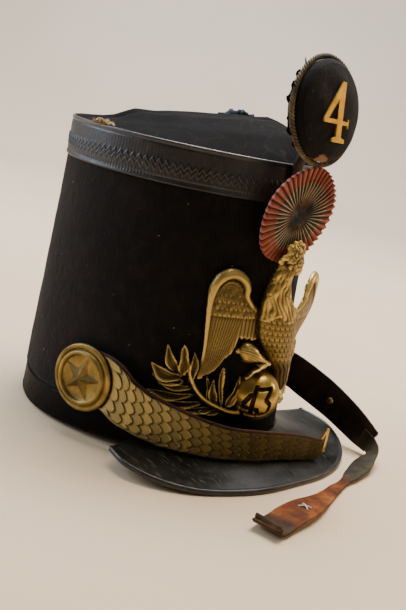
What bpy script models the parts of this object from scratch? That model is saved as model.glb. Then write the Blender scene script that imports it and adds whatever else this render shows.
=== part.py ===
"""Tall felt shako with a leather crown, bands and peak, a brass cockerel plate, a pleated
cockade, a cloth-covered pompon, and chin scales that lie over the peak and on the table.

Metres, +Z up, the hat's front towards -Y and the wearer's left towards +X. The hat stands by
itself on the rear of its rim and on the front edge of its peak. The origin is on the flat
underside of the felt at the rear of the rim.
"""

import math

import bmesh
import bpy
from mathutils import Matrix, Vector

# Clearance between pieces that touch, and under those that bend over others
GAP = 0.0003
SEAT = 0.0005

# Felt body, an oval tube
BOTTOM_HALF_WIDTH = 0.0920
BOTTOM_HALF_DEPTH = 0.1019
TOP_HALF_WIDTH = 0.0885
TOP_HALF_DEPTH = 0.0915
TOP_SHIFT = 0.0013
BODY_HEIGHT = 0.2065
TOP_FALL = 0.0018
FELT_WALL = 0.0028
FRONT_RISE = 0.0146
REST_EDGE_Y = 0.0400
SIDES = 44

# Leather crown, warped upwards towards the wearer's front left
CROWN_RISE = 0.0270
CROWN_WALL = 0.0020
CROWN_HIGH_SIDE = math.radians(46)

# Leather bands round the top and the bottom
TOP_BAND_HEIGHT = 0.0272
BASE_BAND_HEIGHT = 0.0200
BAND_WALL = 0.0012
BAND_LIP = 0.0004

# Leather peak and the binding folded over its edge
PEAK_REACH = 0.0465
PEAK_HALF_WIDTH = 0.1050
PEAK_ROOT_ANGLE = math.radians(52)
PEAK_WALL = 0.0018
PEAK_DISH = 0.0100
PEAK_COLUMNS = 24
BINDING_WALL = 0.0006
BINDING_LEG = 0.0030

# Brass cockerel plate
PLATE_HALF_WIDTH = 0.0820
PLATE_FOOT = 0.0360
PLATE_HEIGHT = 0.1240
BIRD_RELIEF = 0.0150
WING_RELIEF = 0.0060
BALL_RADIUS = 0.0165
BALL_LIFT = 0.0030
TOE_HALF_WIDTH = 0.0016
LEAF_HALF_WIDTH = 0.0030
LEAF_RELIEF = 0.0028
STEM_HALF_WIDTH = 0.0014
FEATHER_RELIEF = 0.0009

# Pleated cockade
COCKADE_RADIUS = 0.0342
COCKADE_HEIGHT = 0.1756
COCKADE_STAND = 0.0113
COCKADE_LEAN = math.radians(12)
COCKADE_WALL = 0.0020
PLEATS = 44
PLEAT_DEPTH = 0.0014
POST_RADIUS = 0.0050

# Pompon, a padded disc on a flat stem
POMPON_RADIUS = 0.0325
POMPON_THICK = 0.0070
POMPON_DOME = 0.0050
POMPON_LEAN = math.radians(8)
POMPON_CLEAR = 0.0022
POMPON_SIDES = 32
BACKING_THICK = 0.0048
CORD_RADIUS = 0.0021
DIGIT_HEIGHT = 0.0380
DIGIT_STROKE = 0.0052
DIGIT_THICK = 0.0012
DIGIT_ASIDE = 0.0050
STEM_WIDTH = 0.0090
STEM_THICK = 0.0022
STEM_FOOT_HEIGHT = 0.1640

# Chin scales and their bosses
BOSS_RADIUS = 0.0230
BOSS_HEIGHT = 0.0415
BOSS_ANGLE = math.radians(75.6)
BOSS_THICK = 0.0062
STAR_POINTS = 5
STAR_RADIUS = 0.0120
STAR_RELIEF = 0.0016
STRAP_WALL = 0.0015
SCALE_PITCH = 0.0083
SCALE_WALL = 0.0009
SCALE_STEP = 0.0006
SCALE_LOBES = 4
SCALE_CLEAR = 0.0008
CLASP_WIDTH = 0.0024
CLASP_WALL = 0.0009
CLASP_RISE = 0.0080
RIVET_RADIUS = 0.0026
RIVET_HEIGHT = 0.0010

# Leather tie that lies on the table
TIE_WALL = 0.0016
TIE_HALF_WIDTH = 0.0125
TIE_LAP = 0.0090

# Feathers of the wing on the wearer's right: where each starts and where its tip ends,
# as shares of PLATE_HALF_WIDTH and of PLATE_HEIGHT above PLATE_FOOT
FEATHERS = (
    # start_across, start_up, tip_across, tip_up
    (-0.64, 0.68, -0.62, 0.19),
    (-0.63, 0.74, -0.56, 0.20),
    (-0.59, 0.78, -0.49, 0.23),
    (-0.53, 0.80, -0.42, 0.29),
    (-0.48, 0.81, -0.37, 0.34),
    (-0.42, 0.79, -0.32, 0.39),
    (-0.37, 0.77, -0.26, 0.41),
    (-0.31, 0.73, -0.18, 0.41),
    (-0.27, 0.67, -0.06, 0.44),
)
# Rows down a wing: share of the way to the tips, height as a share of WING_RELIEF, and how
# much of FEATHER_RELIEF each feather's ridge stands out
WING_ROWS = (
    # along, lift, ridge
    (0.000, 0.30, 0.0),
    (0.020, 0.85, 0.0),
    (0.080, 1.00, 0.2),
    (0.150, 0.78, 0.4),
    (0.380, 0.92, 1.0),
    (0.400, 0.68, 1.0),
    (0.570, 0.82, 1.0),
    (0.590, 0.58, 1.0),
    (0.800, 0.62, 1.0),
    (0.950, 0.52, 0.9),
    (1.000, 0.30, 0.4),
)
# The cockerel from its comb down to its claw: height as a share of PLATE_HEIGHT, left and right
# edges as shares of PLATE_HALF_WIDTH, back and front as shares of BIRD_RELIEF
BIRD_SECTIONS = (
    # up, left, right, back, front
    (0.99, 0.04, 0.14, 0.76, 0.90),
    (0.98, -0.02, 0.19, 0.74, 1.00),
    (0.94, -0.10, 0.22, 0.72, 1.12),
    (0.91, -0.13, 0.24, 0.70, 1.18),
    (0.88, -0.08, 0.24, 0.68, 1.16),
    (0.85, -0.06, 0.21, 0.62, 1.08),
    (0.81, -0.07, 0.17, 0.52, 1.00),
    (0.76, -0.08, 0.16, 0.28, 0.96),
    (0.69, -0.13, 0.16, 0.12, 0.96),
    (0.62, -0.17, 0.21, 0.05, 1.00),
    (0.56, -0.17, 0.25, 0.04, 1.02),
    (0.49, -0.15, 0.28, 0.04, 1.00),
    (0.41, -0.12, 0.30, 0.04, 0.92),
    (0.35, -0.03, 0.32, 0.04, 0.80),
    (0.28, 0.11, 0.34, 0.04, 0.64),
    (0.21, 0.21, 0.39, 0.04, 0.50),
    (0.13, 0.27, 0.41, 0.04, 0.38),
    (0.06, 0.26, 0.40, 0.04, 0.34),
    (0.02, 0.18, 0.35, 0.04, 0.22),
)
# The raised thigh, down to its foot
THIGH = (
    # across, up, half_width, lift
    (-0.32, 0.34, 0.010, 0.20),
    (-0.28, 0.36, 0.062, 0.46),
    (-0.19, 0.355, 0.072, 0.62),
    (-0.10, 0.325, 0.050, 0.74),
    (-0.03, 0.300, 0.030, 0.82),
    (0.04, 0.270, 0.020, 0.82),
)
# Toes of the raised foot over the top of the ball, with their height as a share of BIRD_RELIEF
TOES = (
    # across, up, lift
    (0.05, 0.262, 0.80),
    (0.00, 0.262, 0.83),
    (-0.05, 0.245, 0.87),
    (-0.09, 0.205, 0.90),
)
BALL_ACROSS = 0.0
BALL_UP = 0.11
# Stem of the branch on the wearer's right, and its leaves from base to tip
BRANCH_STEM = (
    # across, up, lift
    (-0.73, 0.28, 1.0),
    (-0.70, 0.20, 1.0),
    (-0.63, 0.13, 1.0),
    (-0.55, 0.08, 1.0),
    (-0.44, 0.05, 1.0),
    (-0.30, 0.04, 1.3),
    (-0.14, 0.06, 2.4),
)
LEAVES = (
    # base_across, base_up, tip_across, tip_up
    (-0.70, 0.215, -1.00, 0.23),
    (-0.67, 0.175, -0.99, 0.16),
    (-0.71, 0.245, -0.90, 0.34),
    (-0.73, 0.270, -0.78, 0.36),
    (-0.70, 0.215, -0.69, 0.33),
    (-0.62, 0.125, -0.93, 0.12),
    (-0.50, 0.065, -0.55, 0.20),
    (-0.41, 0.050, -0.43, 0.27),
    (-0.35, 0.045, -0.28, 0.20),
)
# Profile of the crown from its rim to its middle
CROWN_PROFILE = (
    # radius, low_side, high_side
    (1.00, 0.00, 0.00),
    (0.94, 0.10, 0.22),
    (0.80, 0.24, 0.74),
    (0.55, 0.44, 1.00),
    (0.25, 0.58, 0.90),
    (0.05, 0.66, 0.70),
)
# Half of the peak's edge: angle round the hat from its middle, side as a share of
# PEAK_HALF_WIDTH, reach forwards from the hat's centre and height
PEAK_EDGE = (
    # turn, side, forward, dish
    (0.00, 0.00, 1.000, 0.00),
    (0.22, 0.30, 0.992, 0.00),
    (0.42, 0.55, 0.937, 0.00),
    (0.60, 0.76, 0.855, 0.12),
    (0.76, 0.92, 0.735, 0.42),
    (0.90, 1.00, 0.600, 0.80),
    (1.00, 0.98, 0.495, 1.00),
)
# Routes of the chin scales: angle round the hat towards the wearer's left, stand off the hat
# as a share of PEAK_REACH, height as a share of BOSS_HEIGHT, half width as a share of
# BOSS_RADIUS
RIGHT_ROUTE = (
    # angle, stand, up, half_width
    (-57.5, 0.12, 0.87, 0.72),
    (-50.8, 0.155, 0.76, 0.66),
    (-41.0, 0.21, 0.66, 0.63),
    (-31.0, 0.29, 0.60, 0.54),
    (-21.0, 0.38, 0.55, 0.46),
    (-9.3, 0.44, 0.51, 0.43),
    (3.4, 0.54, 0.46, 0.40),
    (12.2, 0.67, 0.39, 0.36),
    (18.4, 0.84, 0.34, 0.31),
    (21.1, 0.95, 0.33, 0.22),
)
LEFT_ROUTE = (
    # angle, stand, up, half_width
    (57.2, 0.24, 1.05, 0.60),
    (51.1, 0.58, 0.90, 0.58),
    (46.4, 0.92, 0.72, 0.56),
    (42.3, 1.21, 0.54, 0.53),
    (39.0, 1.45, 0.38, 0.48),
    (37.2, 1.60, 0.29, 0.41),
)
# The tie past the strap's end: side and forward as shares of the peak's, height above the
# table, half width as a share of TIE_HALF_WIDTH, and how far its face has turned level
TIE_ROUTE = (
    # side, forward, height, half_width, flat
    (0.91, 1.000, 0.0090, 0.48, 0.35),
    (0.80, 1.040, 0.0058, 0.50, 0.80),
    (0.66, 1.070, 0.0032, 0.50, 1.00),
    (0.50, 1.090, 0.0022, 0.36, 1.00),
    (0.32, 1.115, 0.0019, 0.26, 1.00),
    (0.12, 1.140, 0.0017, 0.36, 1.00),
    (-0.08, 1.150, 0.0015, 0.86, 1.00),
    (-0.28, 1.165, 0.0015, 1.00, 1.00),
    (-0.44, 1.180, 0.0024, 1.02, 1.00),
    (-0.53, 1.190, 0.0068, 1.04, 1.00),
    (-0.55, 1.195, 0.0120, 1.04, 1.00),
)

BAND_OUT = GAP + BAND_WALL


def mix(low, high, share):
    return low + (high - low) * share


def oval_point(half_width, half_depth, angle, height, centre_y=0.0):
    """Point on an upright oval; the angle starts at the front and grows towards +X."""
    return Vector((
        half_width * math.sin(angle),
        centre_y - half_depth * math.cos(angle),
        height,
    ))


def body_point(angle, height, offset=0.0):
    """Point on the felt's outside, or the given distance outside it."""
    share = height / BODY_HEIGHT
    return oval_point(
        mix(BOTTOM_HALF_WIDTH, TOP_HALF_WIDTH, share) + offset,
        mix(BOTTOM_HALF_DEPTH, TOP_HALF_DEPTH, share) + offset,
        angle,
        height,
        TOP_SHIFT * share,
    )


def rim_height(angle):
    """Height of the felt's lower edge: flat at the rear, and rising towards the front."""
    forward = REST_EDGE_Y + BOTTOM_HALF_DEPTH * math.cos(angle)
    if forward <= 0:
        return 0.0
    return FRONT_RISE * (forward / (REST_EDGE_Y + BOTTOM_HALF_DEPTH)) ** 1.5


def top_height(angle):
    return BODY_HEIGHT - TOP_FALL * math.cos(angle)


def smooth_row(table, position, steps):
    """Row at a position counted in rows, on a smooth curve through rows that lie steps apart."""
    index = min(int(position), len(table) - 2)
    share = position - index
    step = steps[index]
    row = []
    for low, high, low_slope, high_slope in zip(
            table[index], table[index + 1], slopes(table, index, steps),
            slopes(table, index + 1, steps)):
        curve = low + (high - low) * share * share * (3 - 2 * share)
        curve += step * low_slope * share * (1 - share) ** 2
        curve -= step * high_slope * share * share * (1 - share)
        row.append(curve)
    return row


def slopes(table, index, steps):
    """Slope of each column at a row, weighted towards the nearer of its neighbours."""
    if index == 0:
        return [(b - a) / steps[0] for a, b in zip(table[0], table[1])]
    if index == len(table) - 1:
        return [(b - a) / steps[-1] for a, b in zip(table[-2], table[-1])]
    before = steps[index - 1]
    after = steps[index]
    return [
        ((b - a) / before * after + (c - b) / after * before) / (before + after)
        for a, b, c in zip(table[index - 1], table[index], table[index + 1])
    ]


def path_steps(rows):
    """Distances between the places that rows of a route give in their first three columns."""
    return [(Vector(b[:3]) - Vector(a[:3])).length for a, b in zip(rows, rows[1:])]


def material(name, colour, roughness, metallic=0.0):
    """One Principled material; the colour is linear RGB."""
    finish = bpy.data.materials.new(name)
    finish.use_nodes = True
    shader = finish.node_tree.nodes["Principled BSDF"]
    shader.inputs["Base Color"].default_value = (*colour, 1.0)
    shader.inputs["Roughness"].default_value = roughness
    shader.inputs["Metallic"].default_value = metallic
    return finish


def add_object(name, bm, finish, parent):
    """Turns a bmesh into a smooth-shaded object of the hat."""
    bmesh.ops.recalc_face_normals(bm, faces=bm.faces)
    bmesh.ops.triangulate(bm, faces=bm.faces)
    mesh = bpy.data.meshes.new(name)
    bm.to_mesh(mesh)
    bm.free()
    mesh.shade_smooth()
    mesh.set_sharp_from_angle(angle=math.radians(35))
    mesh.materials.append(finish)
    piece = bpy.data.objects.new(name, mesh)
    bpy.context.collection.objects.link(piece)
    piece.parent = parent
    return piece


def loft(rings, closed_along=False, ends=None):
    """Bmesh of equal rings of points joined in order. Each end is capped by one face, or by
    the faces that ends lists as places in a ring, unless the last ring joins the first."""
    bm = bmesh.new()
    loops = [[bm.verts.new(point) for point in ring] for ring in rings]
    pairs = list(zip(loops, loops[1:]))
    if closed_along:
        pairs.append((loops[-1], loops[0]))
    for low, high in pairs:
        count = len(low)
        for k in range(count):
            after = (k + 1) % count
            bm.faces.new((low[k], low[after], high[after], high[k]))
    if not closed_along:
        for loop in (loops[0], loops[-1]):
            for places in ends or [range(len(loop))]:
                bm.faces.new([loop[k] for k in places])
    return bm


def turns(count, start=0.0):
    """Equally spaced angles round a full turn."""
    return [start + 2 * math.pi * k / count for k in range(count)]


def hoop(levels):
    """Closed tube round the hat; each level gives a point for an angle."""
    rings = [[level(angle) for angle in turns(SIDES)] for level in levels]
    return loft(rings, closed_along=True)


def build_felt_body(parent):
    """Straight oval tube of felt, open at both ends."""
    def level(share, offset):
        def point(angle):
            return body_point(angle, mix(rim_height(angle), top_height(angle), share), offset)
        return point

    outside = [level(share, 0.0) for share in (0.0, 0.3, 0.65, 1.0)]
    inside = [level(share, -FELT_WALL) for share in (1.0, 0.5, 0.0)]
    finish = material("black_felt", (0.012, 0.010, 0.009), 0.95)
    return add_object("felt_body", hoop(outside + inside), finish, parent)


def crown_level(row, drop):
    """Ring of the crown at one row of its profile, lowered by drop."""
    radius, low_side, high_side = row

    def point(angle):
        weight = 0.5 + 0.5 * math.cos(angle - CROWN_HIGH_SIDE)
        rise = CROWN_RISE * mix(low_side, high_side, weight)
        edge = body_point(angle, top_height(angle) + GAP + CROWN_WALL)
        return Vector((edge.x * radius, TOP_SHIFT + (edge.y - TOP_SHIFT) * radius,
                       edge.z + rise - drop))
    return [point(angle) for angle in turns(SIDES)]


def build_crown_top(parent):
    """Warped leather disc that closes the top, with its edge on the felt."""
    upper = [crown_level(row, 0.0) for row in CROWN_PROFILE]
    lower = [crown_level(row, CROWN_WALL) for row in CROWN_PROFILE]
    finish = material("crown_leather", (0.020, 0.020, 0.022), 0.5)
    return add_object("crown_top", loft(lower[::-1] + upper), finish, parent)


def build_top_band(parent):
    """Leather band round the top, standing just above the crown's edge."""
    def level(drop, offset):
        def point(angle):
            height = top_height(angle) + GAP + CROWN_WALL + BAND_LIP - drop
            return body_point(angle, height, offset)
        return point

    levels = [
        level(TOP_BAND_HEIGHT, BAND_OUT),
        level(0.0, BAND_OUT),
        level(0.0, GAP),
        level(TOP_BAND_HEIGHT, GAP),
    ]
    finish = material("band_leather", (0.022, 0.024, 0.028), 0.45)
    return add_object("top_band", hoop(levels), finish, parent)


def build_base_band(parent):
    """Glossy leather band round the foot of the felt."""
    def level(rise, offset):
        def point(angle):
            return body_point(angle, rim_height(angle) + rise, offset)
        return point

    levels = [
        level(0.0, BAND_OUT),
        level(BASE_BAND_HEIGHT, BAND_OUT),
        level(BASE_BAND_HEIGHT, GAP),
        level(0.0, GAP),
    ]
    finish = material("base_leather", (0.016, 0.016, 0.018), 0.35)
    return add_object("base_band", hoop(levels), finish, parent)


def peak_edge_point(turn, rise=0.0, inset=0.0):
    """Point on the peak's outer edge; turn runs from -1 to 1 across the peak."""
    steps = [b[0] - a[0] for a, b in zip(PEAK_EDGE, PEAK_EDGE[1:])]
    index = 0
    while index < len(steps) - 1 and PEAK_EDGE[index + 1][0] < abs(turn):
        index += 1
    share = (abs(turn) - PEAK_EDGE[index][0]) / steps[index]
    _, side, forward, dish = smooth_row(PEAK_EDGE, index + share, steps)
    point = Vector((
        math.copysign(side * PEAK_HALF_WIDTH, turn),
        -forward * (BOTTOM_HALF_DEPTH + PEAK_REACH),
        max(dish, 0.0) * PEAK_DISH + rise,
    ))
    return point + (peak_root_point(turn, rise) - point).normalized() * inset


def peak_root_point(turn, rise=0.0):
    """Point where the peak meets the base band."""
    angle = turn * PEAK_ROOT_ANGLE
    return body_point(angle, rim_height(angle) + rise, BAND_OUT + GAP)


def build_peak(parent):
    """Leather peak, a closed plate between the base band and its own bound edge."""
    fold = BINDING_WALL + GAP
    rings = []
    for k in range(PEAK_COLUMNS + 1):
        turn = -1 + 2 * k / PEAK_COLUMNS
        root_low = peak_root_point(turn)
        root_high = peak_root_point(turn, PEAK_WALL)
        edge_low = peak_edge_point(turn, fold, fold)
        edge_high = peak_edge_point(turn, fold + PEAK_WALL, fold)
        ring = [root_high.lerp(edge_high, share) for share in (0.0, 0.3, 0.6, 0.85, 1.0)]
        ring += [root_low.lerp(edge_low, share) for share in (1.0, 0.5, 0.0)]
        rings.append(ring)
    finish = material("peak_leather", (0.020, 0.020, 0.016), 0.4)
    return add_object("peak", loft(rings), finish, parent)


def build_peak_binding(parent):
    """Thin leather binding folded over the peak's edge, with a leg above and one below."""
    thick = 2 * BINDING_WALL + 2 * GAP + PEAK_WALL
    inner = BINDING_WALL
    leg = BINDING_LEG
    section = (
        # inset, rise
        (0.0, 0.0),
        (0.0, thick),
        (leg, thick),
        (leg, thick - BINDING_WALL),
        (inner, thick - BINDING_WALL),
        (inner, BINDING_WALL),
        (leg, BINDING_WALL),
        (leg, 0.0),
    )
    rings = []
    for k in range(PEAK_COLUMNS + 1):
        turn = -1 + 2 * k / PEAK_COLUMNS
        edge = peak_edge_point(turn)
        root = peak_root_point(turn)
        rings.append([
            edge.lerp(root, inset / (root - edge).length) + Vector((0, 0, rise))
            for inset, rise in section
        ])
    finish = material("binding_leather", (0.030, 0.029, 0.026), 0.35)
    return add_object("peak_binding", loft(rings), finish, parent)


def plate_point(across, up, lift):
    """Point of the plate: across and up as shares of the plate, lift in metres off the felt."""
    height = PLATE_FOOT + up * PLATE_HEIGHT
    angle = across * PLATE_HALF_WIDTH / mix(BOTTOM_HALF_WIDTH, TOP_HALF_WIDTH, height / BODY_HEIGHT)
    return body_point(angle, height, GAP + lift)


def wing(side):
    """One wing: feathers fan from the shoulder roll, in three overlapping rows."""
    columns = []
    for k, feather in enumerate(FEATHERS):
        columns.append((feather, 1.0))
        if k + 1 < len(FEATHERS):
            between = [(a + b) / 2 for a, b in zip(feather, FEATHERS[k + 1])]
            columns.append((between, 0.0))
    back_lift = 0.14 * WING_RELIEF
    rings = []
    for along, lift, ridge in WING_ROWS:
        front = []
        for (start_across, start_up, tip_across, tip_up), crest in columns:
            reach = along * (0.94 + 0.06 * crest)
            across = mix(start_across, tip_across, reach)
            up = mix(start_up, tip_up, reach)
            height = lift * WING_RELIEF + ridge * (crest - 0.5) * FEATHER_RELIEF
            front.append(plate_point(side * across, up, height))
        back = []
        for (start_across, start_up, tip_across, tip_up), crest in columns[::4]:
            across = mix(start_across, tip_across, along)
            up = mix(start_up, tip_up, along)
            back.append(plate_point(side * across, up, back_lift))
        rings.append(front + back[::-1])
    return loft(rings)


def bird():
    """The cockerel's comb, head, neck, body and standing leg as one rounded relief."""
    rings = []
    for up, left, right, back, front in BIRD_SECTIONS:
        ring = []
        for k in range(9):
            angle = math.pi * k / 8
            across = mix(left, right, 0.5 - 0.5 * math.cos(angle))
            lift = mix(back, front, 0.08 + 0.92 * math.sin(angle) ** 0.8)
            ring.append(plate_point(across, up, lift * BIRD_RELIEF))
        for k in range(3):
            ring.append(plate_point(mix(right, left, k / 2), up, back * BIRD_RELIEF))
        rings.append(ring)
    return loft(rings)


def thigh():
    """The raised thigh, which runs down to a foot on the ball."""
    rings = []
    for across, up, half_width, lift in THIGH:
        ring = []
        for k in range(6):
            angle = math.pi * k / 5
            rise = mix(0.10, lift, math.sin(angle))
            spread = half_width * math.cos(angle) * PLATE_HALF_WIDTH / PLATE_HEIGHT
            ring.append(plate_point(across + 0.2 * half_width * math.cos(angle), up + spread,
                                    rise * BIRD_RELIEF))
        rings.append(ring)
    return loft(rings)


def ball():
    """Half ball under the cockerel's feet, clear of the base band."""
    centre = plate_point(BALL_ACROSS, BALL_UP, BALL_LIFT)
    outward = (plate_point(BALL_ACROSS, BALL_UP, 1.0) - centre).normalized()
    side = outward.cross(Vector((0, 0, 1))).normalized()
    upright = side.cross(outward)
    rings = []
    for latitude in (0, 18, 36, 54, 72, 86):
        radius = BALL_RADIUS * math.cos(math.radians(latitude))
        lift = BALL_RADIUS * math.sin(math.radians(latitude))
        rings.append([
            centre + outward * lift + radius * (side * math.cos(a) + upright * math.sin(a))
            for a in turns(18)
        ])
    return loft(rings)


def blade(points, half_widths, lifts, back_lift):
    """Long ridged relief along points of the plate, such as a leaf or a stem."""
    rings = []
    count = len(points)
    for k in range(count):
        before = points[max(k - 1, 0)]
        after = points[min(k + 1, count - 1)]
        run = Vector(((after[0] - before[0]) * PLATE_HALF_WIDTH,
                      (after[1] - before[1]) * PLATE_HEIGHT)).normalized()
        aside = (-run.y * half_widths[k] / PLATE_HALF_WIDTH, run.x * half_widths[k] / PLATE_HEIGHT)
        across, up = points[k]
        edge = mix(back_lift, lifts[k], 0.45)
        rings.append([
            plate_point(across + aside[0], up + aside[1], back_lift),
            plate_point(across + aside[0], up + aside[1], edge),
            plate_point(across, up, lifts[k]),
            plate_point(across - aside[0], up - aside[1], edge),
            plate_point(across - aside[0], up - aside[1], back_lift),
        ])
    return loft(rings)


def toes():
    """Toes of the raised foot, which hold the top of the ball."""
    points = [(across, up) for across, up, lift in TOES]
    lifts = [lift * BIRD_RELIEF for across, up, lift in TOES]
    return blade(points, [TOE_HALF_WIDTH] * len(TOES), lifts, BALL_LIFT)


def leaf(row, side, back_lift):
    """One pointed leaf from its base on the stem to its tip."""
    base_across, base_up, tip_across, tip_up = row
    shares = (0.0, 0.28, 0.68, 1.0)
    widths = (0.30, 0.95, 0.85, 0.08)
    rises = (0.60, 0.95, 0.95, 0.50)
    points = [(side * mix(base_across, tip_across, s), mix(base_up, tip_up, s)) for s in shares]
    half_widths = [LEAF_HALF_WIDTH * width for width in widths]
    lifts = [back_lift + LEAF_RELIEF * rise for rise in rises]
    return blade(points, half_widths, lifts, back_lift)


def branch_pieces(side):
    """The stem of one branch and its leaves; side is 1 on the wearer's right."""
    points = [(side * across, up) for across, up, lift in BRANCH_STEM]
    widths = [STEM_HALF_WIDTH] * len(BRANCH_STEM)
    lifts = [lift * LEAF_RELIEF for across, up, lift in BRANCH_STEM]
    pieces = [blade(points, widths, lifts, 0.1 * LEAF_RELIEF)]
    for k, row in enumerate(LEAVES):
        pieces.append(leaf(row, side, (0.25 + 0.15 * (k % 3)) * LEAF_RELIEF))
    return pieces


def fuse(base, other):
    """Joins the solid other into base with a union, and removes other."""
    union = base.modifiers.new("union", "BOOLEAN")
    union.operation = "UNION"
    union.object = other
    depsgraph = bpy.context.evaluated_depsgraph_get()
    joined = bpy.data.meshes.new_from_object(base.evaluated_get(depsgraph))
    base.modifiers.remove(union)
    base.data = joined
    bpy.data.objects.remove(other)


def build_cockerel_plate(parent):
    """Brass plate: a cockerel with spread wings on a ball, between two leafy branches."""
    finish = material("plate_brass", (0.42, 0.28, 0.09), 0.35, 1.0)
    plate = add_object("cockerel_plate", bird(), finish, parent)
    pieces = [wing(1), wing(-1), thigh(), toes(), ball()]
    pieces += branch_pieces(1)
    pieces += branch_pieces(-1)
    for k, piece in enumerate(pieces):
        fuse(plate, add_object("plate_piece_%d" % k, piece, finish, parent))
    return plate


def tilted_frame(centre, lean):
    """Matrix of a disc that faces the front, its face turned up by lean."""
    return Matrix.Translation(centre) @ Matrix.Rotation(math.pi / 2 - lean, 4, "X")


def build_cockade(parent):
    """Round cockade of radial pleats, leaning away from the hat at its top."""
    frame = cockade_frame()
    angles = turns(2 * PLEATS)
    rings = []
    for share, depth in ((0.16, 0.2), (0.97, 1.0)):
        ring = []
        for k, angle in enumerate(angles):
            rise = COCKADE_WALL + PLEAT_DEPTH * depth * (k % 2)
            radius = share * COCKADE_RADIUS
            ring.append(frame @ Vector((radius * math.cos(angle), radius * math.sin(angle), rise)))
        rings.append(ring)
    for share, rise in ((1.0, 0.6 * COCKADE_WALL), (0.98, 0.0)):
        radius = share * COCKADE_RADIUS
        rings.append([frame @ Vector((radius * math.cos(a), radius * math.sin(a), rise))
                      for a in angles])
    finish = material("cockade_cloth", (0.30, 0.10, 0.07), 0.8)
    return add_object("cockade", loft(rings), finish, parent)


def cockade_frame():
    """Frame of the cockade, at the middle of its flat back."""
    front = body_point(0.0, COCKADE_HEIGHT, COCKADE_STAND)
    return tilted_frame(front + Vector((0, COCKADE_WALL, 0)), -COCKADE_LEAN)


def build_cockade_post(parent):
    """Plain post behind the cockade, from the pompon's stem to the cockade's back."""
    frame = cockade_frame()
    back_normal = (frame.to_3x3() @ Vector((0, 0, 1))).normalized()
    forward = Vector((0, -1, 0))
    start = []
    end = []
    for angle in turns(12):
        height = COCKADE_HEIGHT + POST_RADIUS * math.sin(angle)
        point = body_point(0.0, height, stem_offset() + STEM_THICK / 2 + GAP)
        point.x = POST_RADIUS * math.cos(angle)
        reach = (frame.translation - point).dot(back_normal) / forward.dot(back_normal)
        start.append(point)
        end.append(point + forward * (reach - GAP / math.cos(COCKADE_LEAN)))
    rings = [start, end]
    finish = material("post_wood", (0.15, 0.09, 0.05), 0.7)
    return add_object("cockade_post", loft(rings), finish, parent)


def stem_offset():
    """Distance from the felt to the middle of the pompon's stem where it lies on the band."""
    return BAND_OUT + GAP + STEM_THICK / 2


def pompon_frame():
    """Frame of the pompon, at the middle of its padded front's edge plane."""
    top = (cockade_frame() @ Vector((0, COCKADE_RADIUS, COCKADE_WALL))).z
    radius = POMPON_RADIUS + CORD_RADIUS
    height = top + POMPON_CLEAR + radius * math.cos(POMPON_LEAN)
    stem_front = body_point(0.0, BODY_HEIGHT, stem_offset() + STEM_THICK / 2 + GAP).y
    depth = (POMPON_THICK + GAP + BACKING_THICK) / math.cos(POMPON_LEAN)
    drop = (radius - CORD_RADIUS) * math.sin(POMPON_LEAN)
    return tilted_frame(Vector((0, stem_front - depth - 0.5 * drop, height)), POMPON_LEAN)


def disc(frame, profile):
    """Turned solid: rows of radius and rise from its back to its front."""
    rings = []
    for radius, rise in profile:
        rings.append([frame @ Vector((radius * math.cos(a), radius * math.sin(a), rise))
                      for a in turns(POMPON_SIDES)])
    return loft(rings)


def build_pompon_body(parent):
    """Padded cloth disc with a domed front."""
    profile = (
        (0.30 * POMPON_RADIUS, -POMPON_THICK),
        (0.97 * POMPON_RADIUS, -POMPON_THICK),
        (POMPON_RADIUS, -0.6 * POMPON_THICK),
        (POMPON_RADIUS, 0.0),
        (0.86 * POMPON_RADIUS, 0.45 * POMPON_DOME),
        (0.62 * POMPON_RADIUS, 0.80 * POMPON_DOME),
        (0.30 * POMPON_RADIUS, POMPON_DOME),
    )
    finish = material("pompon_cloth", (0.015, 0.014, 0.015), 0.9)
    return add_object("pompon_body", disc(pompon_frame(), profile), finish, parent)


def build_pompon_backing(parent):
    """Brown leather disc behind the pompon."""
    back = POMPON_THICK + GAP + BACKING_THICK
    radius = 0.94 * POMPON_RADIUS
    profile = ((0.96 * radius, -back), (radius, -back + 0.2 * BACKING_THICK),
               (radius, -POMPON_THICK - GAP))
    finish = material("backing_leather", (0.10, 0.05, 0.03), 0.6)
    return add_object("pompon_backing", disc(pompon_frame(), profile), finish, parent)


def build_pompon_cord(parent):
    """Cord that runs round the pompon's edge."""
    frame = pompon_frame()
    middle = POMPON_RADIUS + GAP + CORD_RADIUS
    rings = []
    for turn in turns(POMPON_SIDES):
        ring = []
        for angle in turns(6):
            radius = middle + CORD_RADIUS * math.cos(angle)
            rise = CORD_RADIUS * math.sin(angle) - 0.3 * POMPON_THICK
            ring.append(frame @ Vector((radius * math.cos(turn), radius * math.sin(turn), rise)))
        rings.append(ring)
    finish = material("twisted_cord", (0.04, 0.035, 0.035), 0.8)
    return add_object("pompon_cord", loft(rings, closed_along=True), finish, parent)


def digit_outline():
    """Outline of a slab-serif figure 4 about its middle, with the loop cut to one outline."""
    tall = DIGIT_HEIGHT
    bar = 0.30 * tall
    stroke = DIGIT_STROKE
    stem = 0.10 * tall
    left = -0.34 * tall
    right = 0.34 * tall
    thin = 0.36 * stroke
    foot = 0.18 * tall
    top = tall / 2
    low = -tall / 2
    level = low + bar
    outer = [
        (stem - foot, low), (stem + foot, low), (stem + foot, low + thin),
        (stem + stroke / 2, low + 1.6 * thin), (stem + stroke / 2, level),
        (right, level), (right, level + thin), (stem + stroke / 2, level + thin),
        (stem + stroke / 2, top), (stem, top), (left, level + thin), (left, level),
        (stem - stroke / 2, level), (stem - stroke / 2, low + 1.6 * thin),
        (stem - foot, low + thin),
    ]
    inner = [
        (stem - stroke / 2, level + thin),
        (stem - stroke / 2, top - 0.36 * tall),
        (left + 0.14 * tall, level + thin),
    ]
    return outer, inner


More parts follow.
